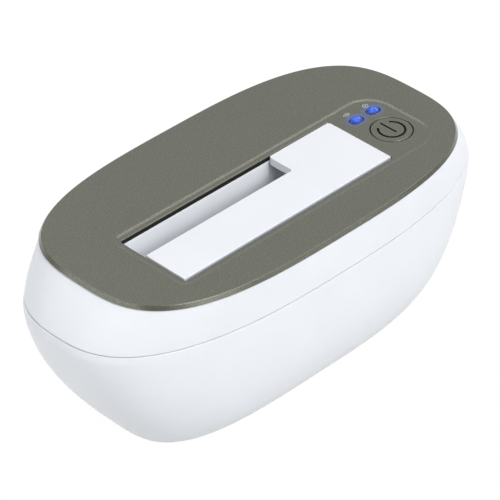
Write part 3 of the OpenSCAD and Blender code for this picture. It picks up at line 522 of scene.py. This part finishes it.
# near black: the bare walls of the drive opening, and painted shade in the button's gap and in its sign's
# grooves
bareEdgeAndPaintedShade = mouldedPlastic("bareEdgeAndPaintedShade", (0.012, 0.011, 0.009), 0.55, 0.2)
blackPlastic = mouldedPlastic("blackPlastic", (0.018, 0.018, 0.02), 0.45, 0.4)
footRubber = mouldedPlastic("footRubber", (0.03, 0.03, 0.032), 0.75, 0.25, 0.05, 4000, 0.12)
ferriteGrey = mouldedPlastic("ferriteGrey", (0.06, 0.06, 0.066), 0.6, 0.3, 0.05)
lightChip = mouldedPlastic("lightChip", (0.75, 0.70, 0.42), 0.4)
ribbonCable = mouldedPlastic("ribbonCable", (0.62, 0.64, 0.67), 0.4)
plainSteel = brushedMetal("plainSteel", (0.62, 0.63, 0.65))
giltMetal = brushedMetal("giltMetal", (0.83, 0.60, 0.22), 0.25)
boardMask = maskedBoard("boardMask")
palePrint = mouldedPlastic("palePrint", (0.40, 0.41, 0.39), 0.5)
print("stage: finishes ready")


def lensCutter(middle, low, top, ease=0.0):
    # a hole with a fine gap round a lens
    gap = lensSet["gap"]
    box = boxAround(middle, lensSet["length"] + 2 * gap, lensSet["width"] + 2 * gap)
    return holeCutter(box, lensSet["width"] / 2 + gap, low, top, ease)


# housing profile, as half sizes and squareness at a depth below the panel's top

housing = {
    "height": 72 * mm,
    "overhang": 0.3 * mm,
    "endBulge": 12.5 * mm,
    "endDrop": 20 * mm,
    "baseEndInset": 14.6 * mm,
    "baseSideInset": 13.45 * mm,
    "partingDrop": 17.8 * mm,
    "sideTurnDrop": 29.8 * mm,
    "endRise": 1.4,
    "endCurve": 1.55,
    "sideCurve": 2.77,
    "panelSquareness": 3.1,
    "partingSquareness": 2.66,
    "baseSquareness": 3.48,
    "squareRise": 2.6,
    "wall": 2.4 * mm,
    "baseEdge": 1.2 * mm,
    "seamEdge": 0.38 * mm,      # half of the parting gap with its rounded edges
    "seamTurn": (0.6, 0.3),     # depth and inset of the rounding, as shares of the edge
    "seamFace": 0.45,           # where the two faces lie, as a share of the edge
    "evenOutline": (0.09, 0.045, 2.9),
    "socketGap": 0.4 * mm,
    "socketReach": 7 * mm,
    "socketCorner": 0.5 * mm,
    "postRadius": 3 * mm,
    "postTop": 30 * mm,
    "boreRadius": 2.55 * mm,
    "shankRadius": 1.55 * mm,
    "seat": 26 * mm,
    "pocketRadius": 5.1 * mm,
    "pocketDepth": mm,
    "points": 192,
}
panelHalf = ((panelHigh.x - panelLow.x) / 2, (panelHigh.y - panelLow.y) / 2)


def halfLength(depth):
    bulge = housing["endBulge"]
    if depth <= housing["endDrop"]:
        share = (housing["endDrop"] - depth) / (housing["endDrop"] - panelThick)
        return panelHalf[0] + bulge - (bulge + housing["overhang"]) * max(0, share) ** housing["endRise"]
    share = (depth - housing["endDrop"]) / (housing["height"] - housing["endDrop"])
    return panelHalf[0] + bulge - (bulge + housing["baseEndInset"]) * share ** housing["endCurve"]


def halfWidth(depth):
    start = panelHalf[1] - housing["overhang"]
    if depth <= housing["sideTurnDrop"]:
        return start
    share = (depth - housing["sideTurnDrop"]) / (housing["height"] - housing["sideTurnDrop"])
    return start - (housing["baseSideInset"] - housing["overhang"]) * share ** housing["sideCurve"]


def squareness(depth):
    top, middle = housing["panelSquareness"], housing["partingSquareness"]
    if depth <= housing["partingDrop"]:
        return top + (middle - top) * depth / housing["partingDrop"]
    share = (depth - housing["partingDrop"]) / (housing["height"] - housing["partingDrop"])
    return middle + (housing["baseSquareness"] - middle) * share ** housing["squareRise"]


def outlinePoint(a, b, n, t):
    c, s = math.cos(t), math.sin(t)
    return (math.copysign(abs(c) ** (2 / n), c) * a, math.copysign(abs(s) ** (2 / n), s) * b)


def evenTurns(count):
    # angles that space the points evenly along one quarter of a middle outline, mirrored to the rest
    fine = 4000
    middle = housing["evenOutline"]
    spots = [outlinePoint(*middle, math.pi / 2 * i / fine) for i in range(fine + 1)]
    lengths = [0]
    for one, two in zip(spots, spots[1:]):
        lengths.append(lengths[-1] + math.dist(one, two))
    quarter = []
    step = 0
    for i in range(count // 4):
        goal = lengths[-1] * i / (count // 4)
        while lengths[step + 1] < goal:
            step += 1
        part = (goal - lengths[step]) / (lengths[step + 1] - lengths[step])
        quarter.append(math.pi / 2 * (step + part) / fine)
    mirrored = [math.pi / 2] + [math.pi - t for t in reversed(quarter[1:])]
    half = quarter + mirrored
    return half + [math.pi + t for t in half]


turns = evenTurns(housing["points"])


def ring(a, b, n, level):
    return [(*outlinePoint(a, b, n, t), level) for t in turns]


def section(depth, inset=0.0):
    return ring(halfLength(depth) - inset, halfWidth(depth) - inset, squareness(depth), topLevel - depth)


def between(start, end, count):
    return [start + (end - start) * i / count for i in range(count + 1)]


# lower shell: rounded base edge, smooth sides, eased parting edge, hollow inside

def buildLowerShell():
    edge, seam, wall = housing["baseEdge"], housing["seamEdge"], housing["wall"]
    bottom, parting = housing["height"], housing["partingDrop"]
    turn, tuck = housing["seamTurn"]
    face = housing["seamFace"]
    rings = []
    for lean in between(0, math.pi / 2, 5):
        rings.append(section(bottom - edge * (1 - math.cos(lean)), edge * (1 - math.sin(lean))))
    rings += [section(d) for d in between(bottom - edge, parting + seam, 30)[1:]]
    rings.append(section(parting + seam * turn, seam * tuck))
    rings.append(section(parting + seam * face, seam))
    rings.append(section(parting + seam * face, wall))
    rings += [section(d, wall) for d in between(parting + wall, bottom - wall, 12)]
    piece = wrapRings("lowerShell", rings)
    gap = housing["socketGap"]
    for node in ("lan_jack", "usb_port_shell", "power_jack"):
        low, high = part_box(node)
        cutter = addBlock("cutter", (low.x - gap, high.y - housing["socketReach"], low.z - gap),
                          (high.x + gap, panelHalf[1] + 5 * spare, high.z + gap))
        selectEdges(cutter, lambda a, b: abs(a.x - b.x) < tiny and abs(a.z - b.z) < tiny)
        bpy.ops.mesh.bevel(offset=housing["socketCorner"], segments=4, affect="EDGES")
        objectMode()
        cutAway(piece, cutter)
    base = topLevel - bottom
    for spot in quarterMiddles("case_screws"):
        weldOn(piece, addRod("post", spot, housing["postRadius"], base + mm, housing["postTop"], 48))
        cutAway(piece, addRod("cutter", spot, housing["boreRadius"], base - spare, housing["seat"], 48))
        cutAway(piece, addRod("cutter", spot, housing["shankRadius"], base, housing["postTop"] + spare, 32))
    pocketTop = base + housing["pocketDepth"]
    for spot in quarterMiddles("rubber_feet"):
        cutAway(piece, addRod("cutter", spot, housing["pocketRadius"], base - spare, pocketTop, 64))
    return piece


lowerShell = buildLowerShell()
finishPiece(lowerShell, whiteShell, "housing", "lower_shell")
smoothOut(lowerShell, 30)
print("stage: lower shell")


# upper shell: sloping skirt, eased edges, deck under the panel

upperSet = {
    "deck": 2.2 * mm,
    "lip": 1.4 * mm,            # tongue inside the parting line
    "lipReach": 2.5 * mm,
    "lipGap": 0.2 * mm,
    "skirtTop": 0.6 * mm,
    # a fine shadow groove under the panel's rim, as depth and inset in mm
    "groove": ((0.4, 0.05), (0.22, 0.3), (0.2, 0.9), (0.01, 1), (0.01, 6)),
    "linerGap": 0.3 * mm,
    "linerFront": -28.65 * mm,
    "linerRear": 7.75 * mm,
    "buttonHole": 8.1 * mm,
    "cutDepth": 9 * mm,
}


def buildUpperShell():
    seam, wall = housing["seamEdge"], housing["wall"]
    parting = housing["partingDrop"]
    turn, tuck = housing["seamTurn"]
    face = housing["seamFace"]
    tongue, reach, loose = wall + upperSet["lip"], upperSet["lipReach"], wall + upperSet["lipGap"]
    rings = [section(panelThick + upperSet["deck"], wall), section(parting - reach, wall)]
    rings += [section(parting - reach, tongue), section(parting + reach, tongue)]
    rings += [section(parting + reach, loose), section(parting - seam * face, loose)]
    rings.append(section(parting - seam * face, seam))
    rings.append(section(parting - seam * turn, seam * tuck))
    rings += [section(d) for d in between(parting - seam, panelThick + upperSet["skirtTop"], 14)]
    rings += [section(panelThick + drop * mm, inset * mm) for drop, inset in upperSet["groove"]]
    piece = wrapRings("upperShell", rings)
    gap, deep = upperSet["linerGap"], topLevel - upperSet["cutDepth"]
    cutAway(piece, addBlock("cutter", (linerLow.x - gap, upperSet["linerFront"], deep),
                            (linerHigh.x + gap, upperSet["linerRear"], topLevel + spare)))
    cutAway(piece, addRod("cutter", buttonMiddle, upperSet["buttonHole"], deep, topLevel + spare))
    for middle in lensMiddles.values():
        cutAway(piece, lensCutter(middle, deep, topLevel))
    return piece


upperShell = buildUpperShell()
finishPiece(upperShell, whiteShell, "housing", "upper_shell")
smoothOut(upperShell, 30)
print("stage: upper shell")


# painted panel: sloping edge band, soft recess, opening, holes for the controls

panelSet = {
    "band": 0.85 * mm,          # how far the edge band slopes out
    "foot": 0.3 * mm,
    "crease": 0.40 * mm,        # rounding where the top turns into the band
    "opening": (-58.8 * mm, 45.2 * mm, -25.85 * mm, 6.5 * mm),
    "openingCorner": 0.9 * mm,
    "rimEase": 0.45 * mm,
    "buttonEase": 0.28 * mm,
    "recessFront": 3.3 * mm,
    "recessRear": 3.5 * mm,
    "recessSlope": 2.2 * mm,
    "recessEnd": 11.85 * mm,
    "recessCorner": 11.9 * mm,
    "recessLeftCorner": 5 * mm,
    "buttonHole": 8.1 * mm,
    "lipDepth": 1.2 * mm,
    # the underside and the foot, as inset and height in mm
    "footRings": ((4, 0), (1.1, 0), (1, 0.12), (0.08, 0.14), (0, 0.22)),
    "darkMargin": 1.5 * mm,     # reach of the bare walls round the opening
    "darkButton": 8.4 * mm,
    "darkDepth": 0.5 * mm,
    "darkLean": 0.4,            # steeper faces are darkened: bare at the opening, painted shade deep in the button's hole
}


def recessCutter():
    # the slope is an even S from the top down to the recess floor
    x0, _, y0, y1 = panelSet["opening"]
    front, rear = panelSet["recessFront"], panelSet["recessRear"]
    slope = panelSet["recessSlope"]
    right = buttonMiddle.x + panelSet["recessEnd"]
    box = (x0 - front, right, y0 - front, y1 + rear)
    big, small = panelSet["recessCorner"], panelSet["recessLeftCorner"]
    corners = (big, small, small, big)
    rings = [roundedOutline(box, corners, topLevel + 2 * spare)]
    for share in between(0, 1, 10):
        drop = share * share * (3 - 2 * share)
        rings.append(roundedOutline(box, corners, topLevel - recessDepth * drop, -slope * share))
    return wrapRings("cutter", rings)


def buildPanel():
    a, b = panelHalf
    n = housing["panelSquareness"]
    band, foot, crease = panelSet["band"], panelSet["foot"], panelSet["crease"]
    lean = math.atan2(band, panelThick - foot)
    rings = []
    for inset, rise in panelSet["footRings"]:
        rings.append(ring(a - inset * mm, b - inset * mm, n, panelUnder + rise * mm))
    rings.append(ring(a, b, n, panelUnder + foot))
    # the crease is an arc from the band's lean to the flat top
    reach = crease * math.tan((math.pi / 2 - lean) / 2)
    for t in between(lean, math.pi / 2, 5):
        inward = band + reach - crease * math.cos(t)
        level = topLevel - crease + crease * math.sin(t)
        rings.append(ring(a - inward, b - inward, n, level))
    piece = wrapRings("topPanel", rings)
    cutAway(piece, recessCutter())
    x0, x1, _, y1 = panelSet["opening"]
    lipRear = y1 + panelSet["lipDepth"]
    weldOn(piece, addBlock("lip", (x0, y1 - spare, panelLow.z), (x1, lipRear, panelUnder + foot)))
    low = panelUnder - spare
    cutAway(piece, holeCutter(panelSet["opening"], panelSet["openingCorner"], low, recessLevel,
                              panelSet["rimEase"]))
    radius = panelSet["buttonHole"]
    hole = boxAround(buttonMiddle, 2 * radius, 2 * radius)
    cutAway(piece, holeCutter(hole, radius, low, recessLevel, panelSet["buttonEase"]))
    for middle in lensMiddles.values():
        cutAway(piece, lensCutter(middle, low, recessLevel, lensSet["holeEase"]))
    return piece


topPanel = buildPanel()
finishPiece(topPanel, panelPaint, "housing", "top_panel")


def holeWall(at, normal):
    # bare walls of the drive opening, and painted shade on the deep part of the button's hole
    x0, x1, y0, y1 = panelSet["opening"]
    margin = panelSet["darkMargin"]
    opening = x0 - margin < at.x < x1 + margin and y0 - margin < at.y < y1 + margin
    near = (at.xy - buttonMiddle.xy).length < panelSet["darkButton"]
    button = near and at.z < recessLevel - panelSet["darkDepth"]
    return abs(normal.z) < panelSet["darkLean"] and (opening or button)


darkenFaces(topPanel, bareEdgeAndPaintedShade, holeWall)
smoothOut(topPanel, 28)
print("stage: panel")


# flap: the CAD solid with its rear edge moved back, eased edges and painted shade on its front edge

flapSet = {
    "edge": 0.18 * mm,
    "rear": 5 * mm,             # faces behind this line belong to the rear edge
    "rearShift": 0.35 * mm,     # how far the rear edge moves back towards the opening's
    "rearFacing": 0.9,
    "front": -24 * mm,
    "frontFacing": 0.6,         # how far a face turns to the front to be painted with shade
}
driveFlap = copyNode("driveFlap", "drive_flap")
selectFaces(driveFlap, lambda at, normal: at.y > flapSet["rear"] and normal.y > flapSet["rearFacing"])
bpy.ops.transform.translate(value=(0, flapSet["rearShift"], 0))
objectMode()
easeEdges(driveFlap, flapSet["edge"], 3)
smoothOut(driveFlap)
finishPiece(driveFlap, whiteFlap, "flap", "drive_flap")
# painted shade: the flap's front-facing faces take a grey-blue tone
darkenFaces(driveFlap, flapEdgePaintedShade,
            lambda at, normal: at.y < flapSet["front"] and normal.y < -flapSet["frontFacing"])
print("stage: flap")


# power button with its engraved sign

buttonSet = {
    "radius": 7.7 * mm,
    "edge": 0.3 * mm,
    "arcRadius": 5.0 * mm,
    "arcGap": 36,                       # half of the opening in the ring, degrees
    "stroke": 0.92 * mm,
    "barStroke": 0.78 * mm,
    "groove": 0.6 * mm,
    "barStart": -2.5 * mm,
    "barEnd": 5.7 * mm,
    "barRound": 0.98,                   # of half the stroke, so that the corners stay apart
    "body": 4.4 * mm,
    "rimRadius": 8.7 * mm,
    "rim": (4.8 * mm, 3.8 * mm),        # depths of the rim's underside and top
    "stemRadius": 1.5 * mm,
    "stemTop": 3 * mm,
    "dark": (0.28 * mm, 2 * mm),        # depths between which the sign's grooves and the button's side are painted with shade
}


def arcStroke(name, middle, radius, width, start, end, low, high, steps=40):
    # a small upright rectangle spun round the middle
    deselectAll()
    bpy.ops.mesh.primitive_plane_add(size=1, location=(0, 0, 0))
    piece = bpy.context.active_object
    piece.name = name
    turn = math.radians(start)
    side = Vector((math.cos(turn), math.sin(turn), 0))
    corners = [(radius - width / 2, low), (radius + width / 2, low), (radius - width / 2, high),
               (radius + width / 2, high)]
    for point, (away, level) in zip(piece.data.vertices, corners):
        point.co = Vector((middle[0], middle[1], level)) + side * away
    editMode()
    bpy.ops.mesh.select_mode(type="EDGE")
    bpy.ops.mesh.select_all(action="SELECT")
    # with no window the spin turns the other way about its axis
    bpy.ops.mesh.spin(steps=steps, angle=math.radians(end - start), center=(middle[0], middle[1], low),
                      axis=(0, 0, -1), dupli=False)
    bpy.ops.mesh.select_all(action="SELECT")
    bpy.ops.mesh.remove_doubles(threshold=1e-7)
    bpy.ops.mesh.normals_make_consistent(inside=False)
    objectMode()
    return piece


def buildButton():
    spot = buttonMiddle
    high = buttonHigh.z
    piece = addRod("powerButton", spot, buttonSet["radius"], high - buttonSet["body"], high, 128)
    selectEdges(piece, lambda a, b: a.z > high - tiny and b.z > high - tiny)
    bpy.ops.mesh.bevel(offset=buttonSet["edge"], segments=4, affect="EDGES")
    objectMode()
    under, over = buttonSet["rim"]
    rim = addRod("rim", spot, buttonSet["rimRadius"], high - under, high - over, 128)
    stem = addRod("stem", spot, buttonSet["stemRadius"], buttonLow.z, high - buttonSet["stemTop"], 48)
    weldOn(piece, rim)
    weldOn(piece, stem)
    low = high - buttonSet["groove"]
    half = buttonSet["barStroke"] / 2
    gap = buttonSet["arcGap"]
    cutAway(piece, arcStroke("cutter", spot, buttonSet["arcRadius"], buttonSet["stroke"],
                             90 + gap, 450 - gap, low, high + spare))
    bar = addBlock("cutter", (spot.x - half, spot.y + buttonSet["barStart"], low),
                   (spot.x + half, spot.y + buttonSet["barEnd"], high + spare))
    roundUprights(bar, half * buttonSet["barRound"], 6)
    cutAway(piece, bar)
    return piece


powerButton = buildButton()
finishPiece(powerButton, buttonPaint, "button", "power_button")
# painted shade: the sign's grooves and the button's side in its gap are darkened
paintedShadeFrom, paintedShadeTo = [buttonHigh.z - depth for depth in buttonSet["dark"]]
darkenFaces(powerButton, bareEdgeAndPaintedShade, lambda at, normal: paintedShadeTo < at.z < paintedShadeFrom)
smoothOut(powerButton, 30)
print("stage: button")


# indicator lenses, domed ovals that glow

def buildLens(name):
    top = lensBoxes[name][1].z
    box = boxAround(lensMiddles[name], lensSet["length"], lensSet["width"])
    corners = [lensSet["width"] / 2] * 4
    dome, steps = lensSet["dome"], lensSet["domeSteps"]
    rings = [roundedOutline(box, corners, level) for level in (panelUnder - lensSet["depth"], top - dome)]
    for i in range(1, steps):
        turn = math.pi / 2 * i / steps
        rings.append(roundedOutline(box, corners, top - dome + dome * math.sin(turn),
                                    -lensSet["domeShare"] * lensSet["width"] / 2 * (1 - math.cos(turn))))
    return wrapRings(name, rings)


markSet = {
    "sink": 0.05 * mm,
    "rise": 0.02 * mm,
    "stroke": 0.26 * mm,
    "wavesAway": (-0.15 * mm, 3.45 * mm, 0),
    "waves": (0.7 * mm, 1.4 * mm, 2.1 * mm),
    "waveTurns": (40, 140),
    "discAway": (0.15 * mm, 4.1 * mm, 0),
    "disc": 1.05 * mm,
    "dot": 0.3 * mm,
}


def buildMarks():
    # plain waves and a plain disc, printed beside the lenses
    low, high = recessLevel - markSet["sink"], recessLevel + markSet["rise"]
    stroke = markSet["stroke"]
    waves = lensMiddles["lensNetwork"] + Vector(markSet["wavesAway"])
    disc = lensMiddles["lensDrive"] + Vector(markSet["discAway"])
    marks = []
    for radius in markSet["waves"]:
        marks.append(arcStroke("mark", waves, radius, stroke, *markSet["waveTurns"], low, high, 16))
    marks.append(arcStroke("mark", disc, markSet["disc"], stroke, 0, 360, low, high, 32))
    marks.append(arcStroke("mark", disc, markSet["dot"], stroke, 0, 360, low, high, 16))
    for mark in marks:
        mark.data.materials.append(palePrint)
    deselectAll()
    for mark in marks:
        mark.select_set(True)
    topPanel.select_set(True)
    bpy.context.view_layer.objects.active = topPanel
    bpy.ops.object.join()


buildMarks()
for lensName, lensNode in (("lensNetwork", "led_lens_network"), ("lensDrive", "led_lens_drive")):
    lens = buildLens(lensName)
    middle = lensMiddles[lensName]
    glow = litLens(lensName + "Glow", (middle.x, middle.y, middle.z),
                   (lensSet["length"] / 2, lensSet["width"] / 2, lensSet["glowHeight"]))
    finishPiece(lens, glow, "housing", lensNode)
    smoothOut(lens, 40)
print("stage: lenses")


# CAD nodes that stay, with their finishes

nodeFinishes = {
    "bay_liner": whiteLiner,
    "flap_pin": plainSteel,
    "flap_spring": plainSteel,
    "main_board": boardMask,
    "sata_connector": blackPlastic,
    "sata_contacts": giltMetal,
    "bridge_chip": blackPlastic,
    "wifi_module": boardMask,
    "wifi_shield": plainSteel,
    "capacitors": blackPlastic,
    "power_inductor": ferriteGrey,
    "clock_crystal": plainSteel,
    "power_jack": blackPlastic,
    "power_jack_pin": plainSteel,
    "usb_port_shell": plainSteel,
    "usb_port_tongue": whiteLiner,
    "lan_jack": blackPlastic,
    "lan_contacts": giltMetal,
    "main_header": whiteLiner,
    "control_header": whiteLiner,
    "control_cable": ribbonCable,
    "control_board": boardMask,
    "tact_switch": blackPlastic,
    "switch_plunger": ferriteGrey,
    "led_chips": lightChip,
    "case_screws": plainSteel,
    "board_screws": plainSteel,
    "control_screws": plainSteel,
    "bay_screws": plainSteel,
    "rubber_feet": footRubber,
}
for node, finish in nodeFinishes.items():
    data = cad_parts[node].data
    data.materials.clear()
    data.materials.append(finish)
print("stage: inner parts dressed")


# floor, world and lamps

lightSet = {
    "away": (0.67, 0.67, 0.32),             # from the camera's side up to the backdrop
    "world": [(0.0, 0.02), (0.5, 0.05), (1.0, 0.62)],
    "lamps": [
        ("keyLamp", (-0.28, -1.2, 1.35), 14.8, 0.9),
        ("rightLamp", (0.2, -1.25, 1.15), 10.2, 0.8),
        ("lowLamp", (0.0, -1.6, 0.5), 3.8, 0.9),
        ("overheadLamp", (0.38, 0.36, 1.35), 1.9, 0.6),
        ("rearTopLamp", (0.2, 0.82, 1.2), 1.9, 0.5),
        ("sideTopLamp", (0.85, 0.05, 1.25), 2.6, 0.6),
        ("leftLamp", (-1.45, 0.35, 0.85), 21.0, 2.0),
        ("creaseLamp", (0.85, -0.5, 1.15), 1.9, 0.7),
        ("bandLamp", (0.9, -1.3, 0.32), 1.1, 0.6),
    ],
    "tint": (0.97, 0.985, 1),
    "aim": (0, 0, 0.04),
    "floorSize": 6,
    "floorLevel": -0.05 * mm,
    "floorGlow": 1.04,
    "floorShare": 0.93,                     # how far the floor reads as plain white to the camera
}


def addLamp(name, place, power, size):
    data = bpy.data.lights.new(name, "AREA")
    data.energy = power
    data.size = size
    lamp = bpy.data.objects.new(name, data)
    bpy.context.scene.collection.objects.link(lamp)
    lamp.location = place
    lamp.rotation_euler = (Vector(lightSet["aim"]) - Vector(place)).to_track_quat("-Z", "Y").to_euler()


def raysThatSee(nodes, links):
    # camera, glossy and transmission rays see the plain background
    path = nodes.new("ShaderNodeLightPath")
    seen = path.outputs["Is Camera Ray"]
    for name in ("Is Glossy Ray", "Is Transmission Ray"):
        seen = larger(nodes, links, seen, path.outputs[name])
    return seen


def buildWorld():
    world = bpy.data.worlds.new("studio")
    bpy.context.scene.world = world
    world.use_nodes = True
    nodes, links = world.node_tree.nodes, world.node_tree.links
    light = nodes["Background"]
    light.inputs["Strength"].default_value = 1
    look = nodes.new("ShaderNodeTexCoord")
    side = nodes.new("ShaderNodeVectorMath")
    side.operation = "DOT_PRODUCT"
    links.new(look.outputs["Generated"], side.inputs[0])
    side.inputs[1].default_value = lightSet["away"]
    spread = nodes.new("ShaderNodeMapRange")
    spread.inputs["From Min"].default_value = -1
    spread.inputs["From Max"].default_value = 1
    links.new(side.outputs["Value"], spread.inputs["Value"])
    tent = ramp(nodes, links, spread.outputs["Result"],
                [(spot, tuple(tone * c for c in lightSet["tint"])) for spot, tone in lightSet["world"]])
    links.new(tent.outputs["Color"], light.inputs["Color"])
    plain = nodes.new("ShaderNodeBackground")
    plain.inputs["Color"].default_value = (1, 1, 1, 1)
    plain.inputs["Strength"].default_value = 1
    mixer = nodes.new("ShaderNodeMixShader")
    path = nodes.new("ShaderNodeLightPath")
    links.new(path.outputs["Is Camera Ray"], mixer.inputs["Fac"])
    links.new(light.outputs["Background"], mixer.inputs[1])
    links.new(plain.outputs["Background"], mixer.inputs[2])
    links.new(mixer.outputs["Shader"], nodes["World Output"].inputs["Surface"])


def buildFloor():
    deselectAll()
    bpy.ops.mesh.primitive_plane_add(size=lightSet["floorSize"], location=(0, 0, lightSet["floorLevel"]))
    floor = bpy.context.active_object
    floor.name = "floor"
    finish, nodes, links, shader = newFinish("floorWhite")
    tone = ramp(nodes, links, speckle(nodes, links, 8).outputs["Fac"], [(0.3, 0.65), (0.7, 0.67)])
    links.new(tone.outputs["Color"], shader.inputs["Base Color"])
    shader.inputs["Roughness"].default_value = 0.9
    shader.inputs["Specular IOR Level"].default_value = 0.1
    plain = nodes.new("ShaderNodeEmission")
    plain.inputs["Strength"].default_value = lightSet["floorGlow"]
    mixer = nodes.new("ShaderNodeMixShader")
    share = nodes.new("ShaderNodeMath")
    share.operation = "MULTIPLY"
    links.new(raysThatSee(nodes, links), share.inputs[0])
    share.inputs[1].default_value = lightSet["floorShare"]
    links.new(share.outputs["Value"], mixer.inputs["Fac"])
    links.new(shader.outputs["BSDF"], mixer.inputs[1])
    links.new(plain.outputs["Emission"], mixer.inputs[2])
    links.new(mixer.outputs["Shader"], nodes["Material Output"].inputs["Surface"])
    floor.data.materials.append(finish)


buildWorld()
buildFloor()
for lampName, lampPlace, lampPower, lampSize in lightSet["lamps"]:
    addLamp(lampName, lampPlace, lampPower, lampSize)
bpy.context.scene.view_settings.view_transform = "Standard"
print("stage: lights and floor")

deselectAll()
